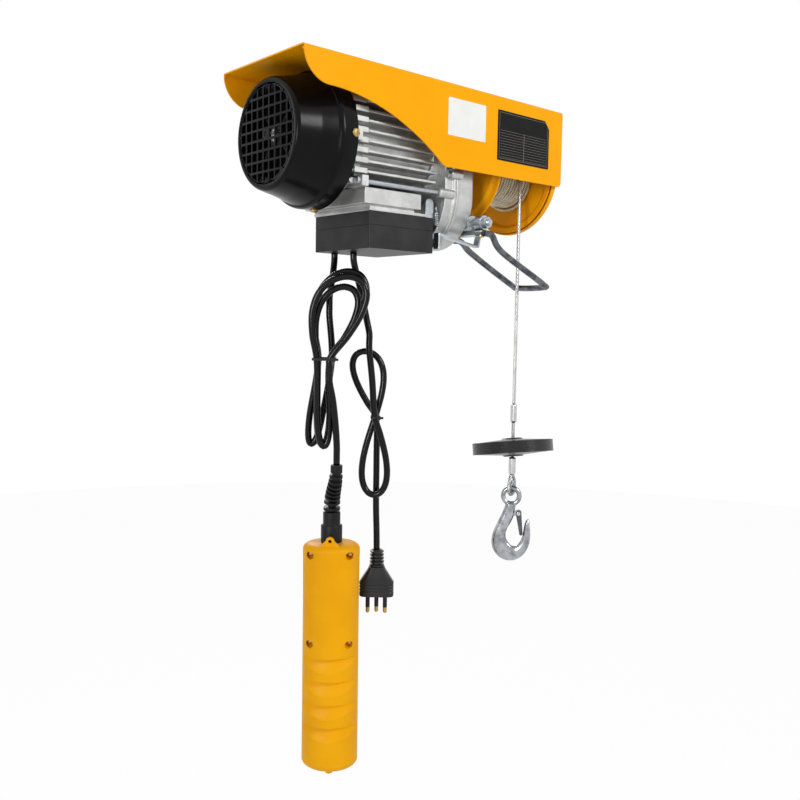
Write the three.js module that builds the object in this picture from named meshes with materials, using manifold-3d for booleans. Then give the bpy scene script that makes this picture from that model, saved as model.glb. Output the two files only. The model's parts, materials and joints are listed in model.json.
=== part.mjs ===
// Electric wire rope hoist with a pendant control, in millimetres, +Z up.
// The origin is the centre of the roof's top face. +X points at the drum end and -Y at the front.

import * as THREE from 'three';
import { mergeVertices } from 'three/addons/utils/BufferGeometryUtils.js';
import Module from 'manifold-3d';

const wasm = await Module();
wasm.setup();

const TURN = 2 * Math.PI;
const QUARTER = Math.PI / 2;
const radians = THREE.MathUtils.degToRad;

// Clearances and shared sizes
const seat = 0.3;
const running = 0.6;
const overrun = 1;
const facets = { large: 30, medium: 12, small: 8 };

// Canopy: the roof with its two skirts
const canopy = { length: 360, width: 138, sheet: 1.5, skirt: 84.2, foldRadius: 4, cornerRadius: 6, endRadius: 29.5 };
const clampHole = { diameter: 9, spacingX: 150, spacingY: 84 };
const roofScrew = { diameter: 6.5, headDiameter: 11.6, sink: 1.2 };
// Lower edge of the skirt from the end's round to the straight part, as shares of length and skirt depth
const sweepShares = { shoulder: [0.082, 0.362], pull: [0.222, 0.368], push: [0.367, 0.618], knee: [0.471, 0.963],
  turn: [0.482, 1], flat: [0.494, 1] };

// Main axis of motor, gearbox and drum, and the gear train
const axisDepth = 67.5;
const gears = { centres: 36, pinionTeeth: 11, wheelTeeth: 59, firstWidth: 8, secondWidth: 13, extraPinion: 2,
  addendum: 0.7, dedendum: 1.1, tipShare: 0.2, rootShare: 0.44, firstStart: 14.2, secondStart: 24.6 };
const gearModule = 2 * gears.centres / (gears.pinionTeeth + gears.wheelTeeth);

// Drum, drum shaft and end plate
const drum = { start: 80.1, end: 172.8, rimRadius: 64.9, band: 6, dish: 3.4, sheet: 2, barrelRadius: 24, barrelWall: 3,
  shaftRadius: 12, shaftInside: 14, stubRadius: 8, stubInside: 24 };
const endPlate = { inset: 2.6, lip: 7.4, sheet: 1.5, topRadius: 5, headRadius: 14, headThickness: 2 };

// Wire rope
const rope = { diameter: 3.8, woundRadius: 33.4, turns: 17, climb: 4.35, climbShare: 0.25, crossShare: 0.18,
  startBend: 2.6, fallX: 145.3, stepsPerTurn: 20, sides: 6, coreGap: 0.6 };
const ropeRadius = rope.diameter / 2;
const fallRadius = rope.woundRadius + rope.climb;

// Gearbox
const gearbox = { coverStart: -4, chamberStart: 8, bulgeStart: 10, flangeStart: 20.3, joint: 24.05, flangeEnd: 27.8,
  end: 55, endWall: 5, radius: 54, flangeRadius: 56, lowerCentre: 40.5, wall: 5, bulgeWall: 3.5, neckRadius: 50,
  shaftHole: 10, hubRadius: 20, hubDepth: 6, lugHalfWidth: 15, lugStart: 29, lugEnd: 49, lugRoot: 48,
  rodBossRadius: 5, rodBossStart: -1 };
const layshaft = { radius: 6, bearingDepth: 6, bossRadius: 11, bossDepth: 6 };

// Motor
const motor = { start: -95, end: -4, bore: 88.6, barrel: 94, finPitch: 9.5, finThickness: 2.6, finReach: 56,
  finTaper: 3, firstFin: -40.5, finCount: 9, lowFinReach: 49.5, lugStart: -78, lugEnd: -44, lugHalfWidth: 15, lugRoot: 40 };
const foot = { start: -94, end: -20, halfWidth: 49.5, top: 44.5, bottom: 60, plateStart: -85, plateEnd: -9,
  plateHalfWidth: 46.4, plateThickness: 3, neckStart: -80, neckEnd: -26, neckHalfWidth: 42 };
const bell = { start: -112, face: -104, radius: 47, cavity: 40, stubStart: -113.5, lugReach: 62.9, lugHalfWidth: 5,
  lugStart: -123, lugEnd: -108, lugRoot: 38, rodLugStart: -104.6, rodLugEnd: -97 };
const bearing = { radius: 16, bore: 7.8, width: 9.4 };
const stator = { start: -76, end: -24, bore: 54, slots: 8, slotWidth: 8, slotInner: 31, slotOuter: 39, headLength: 10,
  headInner: 29.4, headOuter: 41.5 };
const rotor = { coreRadius: 26.2, shaftRadius: 7.5, fanSeatRadius: 6, fanSeatEnd: -124, shaftStart: -166 };
const fan = { start: -163, diskStart: -143, diskEnd: -141, hubRadius: 12, radius: 47, blades: 8, bladeThickness: 1.6,
  bladeInner: 10 };
const brake = { magnetStart: -124, magnetRadius: 33, magnetInner: 12, discStart: -132, discEnd: -126, discRadius: 32 };
const fanCover = { start: -175, end: -115.4, radius: 65.5, frontRadius: 51, edge: 4, wall: 1.5, grooveX: -134.6,
  grooveRadius: 64, flareRadius: 62.6, shoulderX: -131.4, waistX: -151, waistRadius: 57.4, grilleRadius: 43,
  grilleHoles: 7, grillePitch: 12, grilleBar: 2.4 };
const coverScrew = { x: -118.6, shankRadius: 2.1, headRadius: 4.2, headHeight: 2.4, depth: 10 };
const tieRod = { radius: 2.4, y: 53.4, headRadius: 3.7, headLength: 3.4 };

// Terminal box and what it holds
const box = { start: -84.4, end: 2, halfWidth: 46.2, top: 133.7, seam: 147, bottom: 169.8, wall: 2.5, corner: 3 };
const capacitor = { radius: 13.5, start: -46, end: -6, y: 17 };
const limitSwitch = { length: 24, width: 12.4, height: 17 };
const plunger = { depth: 159, y: -40.6, radius: 2.2, bootRadius: 5, bootLength: 2.4, inside: 3, end: 6.2, holeRadius: 3 };
const gland = { flangeRadius: 9, flange: 4, neckRadius: 6.2, stand: 0.3 };
const bracket = { start: -8, end: 3, y: -43.6, sheet: 1.5, top: 113.5, footDepth: 12, cornerRadius: 5 };

// Limit arm with its bail, striker strip and spring
const pivot = { x: 62, depth: 134, bossRadius: 8.75, bossFront: -29, bossBack: -4, webStart: 53, webHalfHeight: 8,
  sleeveRadius: 6, sleeveBore: 4.3, sleeveFront: -52, hubFront: -60, hubRadius: 8, boltRadius: 4, boltDepth: 12,
  washerRadius: 8.6, washer: 2, headFlats: 13, head: 8 };
const saddle = { top: 9.6, thickness: 2.9, start: -5, end: 13, front: -62, back: -12, webHalf: 4.5, webFront: -51, webBack: -31 };
const bail = { radius: 3.5, near: -67, far: -19, bendRadiusShare: 0.5 };
// Centre line of the bail's legs and end bar from the pivot: along X, along Y and down
const bailRoute = [[-6, -65.9, 11.6], [4, -65.9, 12.2], [8.5, -66.3, 14.6], [24, bail.near, 30.5], [92, bail.near, 60.6],
  [101, -62, 65], [101, -24, 65], [92, bail.far, 60.6], [26, bail.far, 29.7], [9, bail.far, 18], [-3, bail.far, 16.6]];
const strip = { front: -49, back: -41, start: -55.5, bend: 4, end: 9, drop: 13.9, endDrop: 23.6, sheet: 2, tabDrop: 31,
  tailSheet: 2 };
const spring = { wire: 0.9, radius: 2.2, curls: 7, pitch: 2, y: -45.4, topX: -57.2, topDrop: -12.5, bottomX: -55,
  sides: 5, steps: 8 };

// Rope end, stop disc and hook
const upperFerrule = { top: 336, bottom: 357, radius: 4 };
const lowerFerrule = { top: 399.4, bottom: 419, radius: 4.5 };
const stopDisc = { depth: 387, radius: 47.5, rim: 14, coneRadius: 43, hubRadius: 12, hub: 22, bore: 4.7, boreMouth: 11,
  tiltAcross: 9, tiltSide: 4.5 };
const thimble = { halfWidth: 8.1, neck: 2.3, length: 24.6, liner: 1, linerWidth: 4.2, straight: 1.5, yaw: 15 };
const eye = { radius: 9.5, section: 3, drop: 26.4 };
const hook = { yaw: -50, thickness: 9, width: 46.3, drop: 78.3, lugX: 9.2, lugDrop: 20.5, lugRadius: 3.2,
  lugThickness: 4 };
// Outline of the hook below its eye, as shares of its width and its drop
const hookOuterShares = [[-0.13, 0.12], [-0.22, 0.26], [-0.34, 0.42], [-0.448, 0.58], [-0.482, 0.71], [-0.44, 0.83],
  [-0.315, 0.935], [-0.13, 0.995], [0.08, 0.998], [0.27, 0.945], [0.41, 0.85], [0.49, 0.73], [0.516, 0.6],
  [0.5, 0.47], [0.485, 0.385], [0.458, 0.345]];
const hookInnerShares = [[0.425, 0.352], [0.39, 0.4], [0.36, 0.47], [0.325, 0.58], [0.25, 0.7], [0.15, 0.765], [0.05, 0.768],
  [-0.055, 0.71], [-0.115, 0.62], [-0.08, 0.51], [0, 0.42], [0.06, 0.34], [0.095, 0.26], [0.11, 0.19], [0.13, 0.12]];
const latch = { length: 24.4, lean: 8, radius: 3.4, endRadius: 2, halfThickness: 4, slotHalf: 2.4, slotRadius: 4.2, pinRadius: 1.5,
  pinHalfLength: 4.8 };

// Both cords hang in front of a plane that faces the viewer
const viewer = { yaw: -41.87 };
const cord = { radius: 3.5, sides: 8, step: 16 };
const pendant = { x: -70, y: 30 };
const mains = { x: -64, y: 5 };
// Each route is across, towards the viewer, and down
const pendantUpperRoute = [[0, 0, 170.4], [0, 0, 177], [-0.8, 4, 190], [-2, 13, 205], [-3, 20.4, 217], [-3, 21, 222], [-3, 21, 228]];
const pendantLowerRoute = [[0, 45.9, 297], [0, 45.9, 304], [3.4, 45, 322], [6.4, 44, 348], [7.6, 40.4, 370], [7.6, 40, 380],
  [7.6, 40, 389.7]];
const mainsUpperRoute = [[0, 0, 170.4], [0, 0, 178], [3.3, -2.2, 193], [9, -3.2, 215], [13.9, -3.2, 238], [17.4, -2, 255],
  [17.4, -2, 262]];
const mainsTailRoute = [[26.2, -18, 384], [26.3, -18, 400], [26.4, -18, 440], [27.4, -18, 470], [27.8, -18, 489]];
const pendantHank = { top: 228.3, waist: 281, drop: 90, waistHalf: 6.8, waistAcross: -6.8, firstLayer: 21, layer: 8.3,
  loops: 3, roundShare: 0.35, lowWiden: 0, rises: [90, 74, 84], widens: [40, 30, 42], leans: [24, 20, 24],
  spreads: [-13.6, -1, 1] };
const mainsHank = { top: 262.3, waist: 343, rise: 69.5, drop: 84, upperHalf: 16.2, lowerHalf: 13.6, across: 24.5, lean: -12,
  firstLayer: -2, layers: 16 };
const tie = { thickness: 1.2, height: 2.6, clear: 0.55 };
const relief = { top: 390, collarTop: 442, step: 456, foot: 474.7, topX: 7.6, topTowards: 40, ribs: 8, ribRadius: 9, coreRadius: 5,
  capRadius: 7.2, capLength: 6, collarRadius: 9.4, footRadius: 10.2, sides: 8 };
const handset = { across: 1.8, towards: 24, top: 475, length: 244, halfWidth: 30.2, halfDepth: 25.5, wall: 2.5, edge: 6,
  cavity: 116, splitGap: 0.3, grips: 4, gripTop: 119.5, gripPitch: 24.9, gripHeight: 15.3, gripDepth: 4.5, recessRadius: 3.2,
  recessDepth: 11, bossRadius: 5.6, recessHalfSpan: 20.6, upperRecess: 10.5, lowerRecess: 105.5, nubRadius: 5, nub: 8,
  tabRadius: 4.6, tabHole: 1.7, tabHeight: 5, tabHalfBase: 11, tabThickness: 2.6, tabInset: 5 };
const button = { radius: 8.5, collarRadius: 10.5, collar: 2, proud: 4, recess: 3, bore: 9, upDepth: 66, downDepth: 96 };
const stopButton = { depth: 32, stemRadius: 6.5, bore: 7, capRadius: 12.5, cap: 8, gap: 4.6 };
const plug = { top: 489.3, reliefLength: 19, bodyTop: 508, shoulder: 526, bottom: 541.5, halfWidth: 18.9, neckHalf: 8.6, halfDepth: 8,
  chamfer: 3, ribRadius: 8.2, coreRadius: 5.4, ribs: 5, pinRadius: 2.2, pinLength: 19, pinSpan: 19, pinOffset: 3, across: 28.2,
  towards: -18 };

// Colours
const material = (color, roughness, metalness) => new THREE.MeshStandardMaterial({ color, roughness, metalness });
const yellowPaint = material(0xf5a800, 0.4, 0);
const castAluminium = material(0xa9aaa6, 0.55, 0.7);
const darkSteel = material(0x55585b, 0.45, 0.9);
const brightSteel = material(0xc4c6c8, 0.3, 1);
const zinc = material(0xb9c1c4, 0.4, 0.9);
const brass = material(0xc9a94f, 0.35, 1);
const copper = material(0xb5652f, 0.4, 0.9);
const blackPlastic = material(0x1d1d1f, 0.5, 0);
const greyPlastic = material(0x3a3a3c, 0.55, 0);
const rubber = material(0x161617, 0.8, 0);
const yellowPlastic = material(0xf2a900, 0.55, 0);
const redPlastic = material(0xc01818, 0.45, 0);
const greenPlastic = material(0x2c8a3c, 0.45, 0);

const hoist = new THREE.Group();
const forms = [];

// A closed body with shared vertices, no needle triangles, and faces that point out
function closedBody(geometry) {
  const bare = geometry.clone();
  for (const name of Object.keys(bare.attributes)) {
    if (name !== 'position') bare.deleteAttribute(name);
  }
  const merged = mergeVertices(bare, 1e-4);
  const at = merged.attributes.position;
  const corners = [];
  const [a, b, c] = [new THREE.Vector3(), new THREE.Vector3(), new THREE.Vector3()];
  let volume = 0;
  for (let i = 0; i < merged.index.count; i += 3) {
    const [i0, i1, i2] = [merged.index.getX(i), merged.index.getX(i + 1), merged.index.getX(i + 2)];
    if (i0 !== i1 && i1 !== i2 && i2 !== i0) {
      corners.push(i0, i1, i2);
      volume += a.fromBufferAttribute(at, i0).dot(b.fromBufferAttribute(at, i1).cross(c.fromBufferAttribute(at, i2)));
    }
  }
  merged.setIndex(volume < 0 ? corners.reverse() : corners);
  return merged;
}

function toSolid(geometry) {
  const body = closedBody(geometry);
  const vertProperties = new Float32Array(body.attributes.position.array);
  return new wasm.Manifold(new wasm.Mesh({ numProp: 3, vertProperties, triVerts: new Uint32Array(body.index.array) }));
}

function toGeometry(solid) {
  const { numProp, vertProperties, triVerts } = solid.getMesh();
  const geometry = new THREE.BufferGeometry();
  const positions = new Float32Array(vertProperties.length / numProp * 3);
  for (let i = 0; i < positions.length / 3; i += 1) {
    positions.set(vertProperties.subarray(i * numProp, i * numProp + 3), i * 3);
  }
  geometry.setAttribute('position', new THREE.BufferAttribute(positions, 3));
  geometry.setIndex(new THREE.BufferAttribute(new Uint32Array(triVerts), 1));
  return geometry;
}

// Joins the first list of geometries and cuts the second from them
function joined(parts, cuts = []) {
  let solid = toSolid(parts[0]);
  for (const part of parts.slice(1)) solid = solid.add(toSolid(part));
  for (const cut of cuts) solid = solid.subtract(toSolid(cut));
  return toGeometry(solid);
}

function add(parent, name, geometry, look) {
  const shape = closedBody(geometry);
  shape.computeVertexNormals();
  const mesh = new THREE.Mesh(shape, look);
  mesh.name = name;
  parent.add(mesh);
  return mesh;
}

function group(parent, x, y, z, turnZ = 0) {
  const made = new THREE.Group();
  made.position.set(x, y, z);
  made.rotation.z = turnZ;
  parent.add(made);
  return made;
}

// Plain shapes between named planes
function block(x0, x1, y0, y1, z0, z1) {
  return new THREE.BoxGeometry(x1 - x0, y1 - y0, z1 - z0).translate((x0 + x1) / 2, (y0 + y1) / 2, (z0 + z1) / 2);
}

function rodX(radius, x0, x1, y = 0, z = 0, sides = facets.medium) {
  return new THREE.CylinderGeometry(radius, radius, x1 - x0, sides).rotateZ(-QUARTER).translate((x0 + x1) / 2, y, z);
}

function rodY(radius, y0, y1, x = 0, z = 0, sides = facets.medium) {
  return new THREE.CylinderGeometry(radius, radius, y1 - y0, sides).translate(x, (y0 + y1) / 2, z);
}

function rodZ(radius, z0, z1, x = 0, y = 0, sides = facets.medium) {
  return new THREE.CylinderGeometry(radius, radius, z1 - z0, sides).rotateX(QUARTER).translate(x, y, (z0 + z1) / 2);
}

// Turned shapes: a profile of (along the axis, radius) pairs
function turned(profile, sides = facets.large) {
  return new THREE.LatheGeometry(profile.map(([along, radius]) => new THREE.Vector2(radius, along)), sides);
}
const turnedX = (profile, sides) => turned(profile, sides).rotateZ(-QUARTER);
const turnedZ = (profile, sides) => turned(profile, sides).rotateX(QUARTER);

// Extrusions of a flat shape along one axis
const flat = (shape, length, curveSegments = 12) => (
  new THREE.ExtrudeGeometry(shape, { depth: length, bevelEnabled: false, curveSegments }));
const basisX = new THREE.Matrix4().makeBasis(new THREE.Vector3(0, 1, 0), new THREE.Vector3(0, 0, 1), new THREE.Vector3(1, 0, 0));
const basisY = new THREE.Matrix4().makeBasis(new THREE.Vector3(1, 0, 0), new THREE.Vector3(0, 0, 1), new THREE.Vector3(0, -1, 0));
const extrudedX = (shape, x0, x1, segments) => flat(shape, x1 - x0, segments).applyMatrix4(basisX).translate(x0, 0, 0);
const extrudedY = (shape, y0, y1, segments) => flat(shape, y1 - y0, segments).applyMatrix4(basisY).translate(0, y1, 0);
const extrudedZ = (shape, z0, z1, segments) => flat(shape, z1 - z0, segments).translate(0, 0, z0);

function roundedBox(x0, x1, y0, y1, radius) {
  const shape = new THREE.Shape();
  shape.moveTo(x0 + radius, y0);
  shape.lineTo(x1 - radius, y0);
  shape.absarc(x1 - radius, y0 + radius, radius, -QUARTER, 0);
  shape.absarc(x1 - radius, y1 - radius, radius, 0, QUARTER);
  shape.absarc(x0 + radius, y1 - radius, radius, QUARTER, Math.PI);
  shape.absarc(x0 + radius, y0 + radius, radius, Math.PI, Math.PI + QUARTER);
  return shape;
}

// A block whose top is narrower than its bottom
function tapered(bottom, top, z0, z1) {
  const geometry = block(bottom.x0, bottom.x1, bottom.y0, bottom.y1, z0, z1);
  const at = geometry.attributes.position;
  for (let i = 0; i < at.count; i += 1) {
    if (at.getZ(i) > (z0 + z1) / 2) {
      at.setX(i, at.getX(i) > (bottom.x0 + bottom.x1) / 2 ? top.x1 : top.x0);
      at.setY(i, at.getY(i) > (bottom.y0 + bottom.y1) / 2 ? top.y1 : top.y0);
    }
  }
  return geometry;
}

// Two round ends one above the other, joined by straight sides: the gearbox outline
function obround(radius, centreDrop) {
  const shape = new THREE.Shape();
  shape.absarc(0, 0, radius, 0, Math.PI);
  shape.absarc(0, -centreDrop, radius, Math.PI, TURN);
  return shape;
}

function gearShape(teeth, turn) {
  const shape = new THREE.Shape();
  const pitchRadius = teeth * gearModule / 2;
  const root = pitchRadius - gears.dedendum * gearModule;
  const tip = pitchRadius + gears.addendum * gearModule;
  const corners = [[root, -gears.rootShare / 2], [tip, -gears.tipShare / 2], [tip, gears.tipShare / 2], [root, gears.rootShare / 2]];
  const points = [];
  for (let tooth = 0; tooth < teeth; tooth += 1) {
    for (const [radius, offset] of corners) {
      const angle = turn + (tooth + offset) * TURN / teeth;
      points.push(new THREE.Vector2(radius * Math.cos(angle), radius * Math.sin(angle)));
    }
  }
  return shape.setFromPoints(points);
}

// A tube of rings square to a chain of points; radii may be one value or one for each point
function ringTube(points, radii, sides) {
  const radiusAt = (i) => (Array.isArray(radii) ? radii[i] : radii);
  const tangents = points.map((point, i) => {
    const before = points[Math.max(i - 1, 0)];
    const after = points[Math.min(i + 1, points.length - 1)];
    return after.clone().sub(before).normalize();
  });
  const seed = Math.abs(tangents[0].z) > Math.SQRT1_2 ? new THREE.Vector3(1, 0, 0) : new THREE.Vector3(0, 0, 1);
  let normal = seed.cross(tangents[0]).normalize();
  const positions = [];
  points.forEach((point, i) => {
    normal = normal.clone().addScaledVector(tangents[i], -normal.dot(tangents[i])).normalize();
    const side = tangents[i].clone().cross(normal);
    for (let k = 0; k < sides; k += 1) {
      const angle = TURN * k / sides;
      const ring = point.clone().addScaledVector(normal, radiusAt(i) * Math.cos(angle));
      ring.addScaledVector(side, radiusAt(i) * Math.sin(angle));
      positions.push(ring.x, ring.y, ring.z);
    }
  });
  const index = [];
  for (let i = 0; i < points.length - 1; i += 1) {
    for (let k = 0; k < sides; k += 1) {
      const [p, q] = [i * sides + k, i * sides + (k + 1) % sides];
      index.push(p, q, p + sides, q, q + sides, p + sides);
    }
  }
  const last = (points.length - 1) * sides;
  for (let k = 1; k < sides - 1; k += 1) index.push(0, k + 1, k, last, last + k, last + k + 1);
  const geometry = new THREE.BufferGeometry();
  geometry.setAttribute('position', new THREE.Float32BufferAttribute(positions, 3));
  geometry.setIndex(index);
  return geometry;
}

// Least distance between a form's own surfaces, over pairs that lie apart along it
function leastGap(points, diameter) {
  const walked = [0];
  for (let i = 1; i < points.length; i += 1) walked.push(walked[i - 1] + points[i].distanceTo(points[i - 1]));
  const [span, cross] = [new THREE.Line3(), new THREE.Vector3()];
  let least = Infinity;
  for (let i = 0; i < points.length - 1; i += 1) {
    span.set(points[i], points[i + 1]);
    for (let j = 0; j < points.length; j += 1) {
      const apart = Math.min(Math.abs(walked[j] - walked[i]), Math.abs(walked[j] - walked[i + 1]));
      if (apart > Math.PI * diameter) {
        span.closestPointToPoint(points[j], true, cross);
        least = Math.min(least, cross.distanceTo(points[j]) - diameter);
      }
    }
  }
  return least;
}

function addForm(parent, name, points, diameter, sides, look) {
  forms.push(`${name} least gap to itself ${leastGap(points, diameter).toFixed(2)} mm`);
  return add(parent, name, ringTube(points, diameter / 2, sides), look);
}

const smooth = (share) => {
  const s = THREE.MathUtils.clamp(share, 0, 1);
  return s * s * (3 - 2 * s);
};

// Canopy
function skirtOutline() {
  const shape = new THREE.Shape();
  const half = canopy.length / 2;
  const place = ([along, down]) => [along * canopy.length - half, -down * canopy.skirt];
  shape.moveTo(-half, 0);
  shape.lineTo(-half, -canopy.sheet);
  shape.absarc(canopy.endRadius - half, -canopy.sheet, canopy.endRadius, Math.PI, Math.PI + QUARTER);
  shape.bezierCurveTo(...place(sweepShares.pull), ...place(sweepShares.push), ...place(sweepShares.knee));
  shape.quadraticCurveTo(...place(sweepShares.turn), ...place(sweepShares.flat));
  shape.absarc(half - canopy.cornerRadius, canopy.cornerRadius - canopy.skirt, canopy.cornerRadius, -QUARTER, 0);
  shape.lineTo(half, 0);
  return shape;
}

function channelSection(inset) {
  const shape = new THREE.Shape();
  const side = canopy.width / 2 - inset;
  const radius = canopy.foldRadius - inset;
  shape.moveTo(-side, -canopy.skirt - inset);
  shape.lineTo(side, -canopy.skirt - inset);
  shape.absarc(side - radius, -inset - radius, radius, 0, QUARTER);
  shape.absarc(radius - side, -inset - radius, radius, QUARTER, Math.PI);
  return shape;
}

const roofLugs = [(motor.lugStart + motor.lugEnd) / 2, (gearbox.lugStart + gearbox.lugEnd) / 2];

function makeCanopy() {
  const half = canopy.length / 2;
  const outer = toSolid(extrudedX(channelSection(0), -half, half, 2));
  const inner = toSolid(extrudedX(channelSection(canopy.sheet), -half - overrun, half + overrun, 2));
  const side = toSolid(extrudedY(skirtOutline(), -canopy.width, canopy.width, 6));
  let solid = outer.subtract(inner).intersect(side);
  for (const x of [-clampHole.spacingX / 2, clampHole.spacingX / 2]) {
    for (const y of [-clampHole.spacingY / 2, clampHole.spacingY / 2]) {
      solid = solid.subtract(toSolid(rodZ(clampHole.diameter / 2, -canopy.sheet - overrun, overrun, x, y, facets.small)));
    }
  }
  for (const x of roofLugs) {
    solid = solid.subtract(toSolid(rodZ(roofScrew.headDiameter / 2, -canopy.sheet - overrun, overrun, x, 0, facets.small)));
  }
  add(hoist, 'canopy', toGeometry(solid), yellowPaint);
}

// Drum end plate: a pressed plate whose lip follows its outline
const line = group(hoist, 0, 0, -axisDepth);
const plateX = canopy.length / 2 - endPlate.inset;
const inside = canopy.width / 2 - canopy.sheet - seat;
const underRoof = axisDepth - canopy.sheet - seat;

function plateOutline(inset) {
  const shape = new THREE.Shape();
  const side = inside - inset;
  const top = underRoof - inset;
  shape.absarc(0, 0, side, Math.PI, TURN);
  shape.absarc(side - endPlate.topRadius, top - endPlate.topRadius, endPlate.topRadius, 0, QUARTER);
  shape.absarc(endPlate.topRadius - side, top - endPlate.topRadius, endPlate.topRadius, QUARTER, Math.PI);
  return shape;
}

function makeEndPlate() {
  const pressed = joined(
    [extrudedX(plateOutline(0), plateX - endPlate.lip, plateX, facets.small)],
    [extrudedX(plateOutline(endPlate.sheet), plateX - endPlate.lip - overrun, plateX - endPlate.sheet, facets.small),
      rodX(drum.stubRadius + seat, plateX - endPlate.lip, plateX + overrun)]);
  add(line, 'drum_end_plate', pressed, yellowPaint);
  const head = plateX + seat;
  const stubStart = drum.end - drum.stubInside;
  add(line, 'drum_stub', turnedX([[stubStart, 0], [stubStart, drum.stubRadius], [head, drum.stubRadius],
    [head, endPlate.headRadius], [head + endPlate.headThickness, endPlate.headRadius], [head + endPlate.headThickness, 0]],
  facets.medium), darkSteel);
}

// Drum: two dished flanges on a barrel, open at both hubs
function makeDrum() {
  const { start, end, rimRadius, band, dish, sheet, barrelRadius, barrelWall } = drum;
  const dishRadius = rimRadius - band;
  const foldRadius = dishRadius - dish;
  const bore = barrelRadius - barrelWall;
  const shaftBore = drum.shaftRadius + seat;
  const stubBore = drum.stubRadius + running;
  add(line, 'drum', turnedX([
    [start, shaftBore], [start, foldRadius], [start + dish, dishRadius], [start + dish, rimRadius],
    [start + dish + sheet, rimRadius], [start + dish + sheet, dishRadius], [start + sheet, foldRadius],
    [start + sheet, barrelRadius], [end - sheet, barrelRadius], [end - sheet, foldRadius],
    [end - dish - sheet, dishRadius], [end - dish - sheet, rimRadius], [end - dish, rimRadius], [end - dish, dishRadius],
    [end, foldRadius], [end, stubBore], [end - sheet, stubBore], [end - sheet, bore], [start + sheet, bore],
    [start + sheet, shaftBore], [start, shaftBore]]), yellowPaint);
  const coreOuter = rope.woundRadius - ropeRadius - rope.coreGap;
  const [coreStart, coreEnd] = [start + sheet + seat, end - sheet - seat];
  add(line, 'rope_core', turnedX([[coreStart, barrelRadius + seat], [coreStart, coreOuter], [coreEnd, coreOuter],
    [coreEnd, barrelRadius + seat], [coreStart, barrelRadius + seat]]), brightSteel);
}

// Rope on the drum: one layer from the left flange to the right one, then a last turn that climbs over it to the fall
function windingPoints() {
  const lastX = drum.end - drum.sheet - rope.diameter;
  const startX = drum.start + drum.sheet + seat;
  const bendX = startX + rope.diameter;
  const firstX = bendX + rope.startBend;
  const end = TURN * (rope.turns + 1);
  const at = (x, radius, angle) => new THREE.Vector3(x, -radius * Math.cos(angle), -radius * Math.sin(angle));
  const bendAngle = rope.startBend / rope.woundRadius;
  const points = [at(startX, rope.woundRadius, -bendAngle)];
  for (const share of [0, 1 / 3, 2 / 3]) {
    const lean = share * QUARTER;
    points.push(at(bendX + rope.startBend * Math.sin(lean), rope.woundRadius, -bendAngle * Math.cos(lean)));
  }
  for (let step = 0; step <= (rope.turns + 1) * rope.stepsPerTurn; step += 1) {
    const angle = TURN * step / rope.stepsPerTurn;
    const onTop = (angle - TURN * rope.turns) / TURN;
    const along = Math.min(angle / (TURN * rope.turns), 1);
    const radius = rope.woundRadius + rope.climb * smooth(onTop / rope.climbShare);
    const layerX = firstX + (lastX - firstX) * along;
    const crossing = smooth((onTop - rope.crossShare) / (1 - rope.crossShare));
    points.push(at(layerX + (rope.fallX - lastX) * crossing, radius, angle - end));
  }
  points.push(new THREE.Vector3(rope.fallX, -fallRadius, -rope.diameter));
  return points;
}

function makeRope() {
  addForm(line, 'rope_winding', windingPoints(), rope.diameter, rope.sides, brightSteel);
  const top = -rope.diameter - seat;
  add(line, 'rope_fall', rodZ(ropeRadius, axisDepth - upperFerrule.top + seat, top, rope.fallX, -fallRadius, facets.small),
    brightSteel);
}

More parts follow.
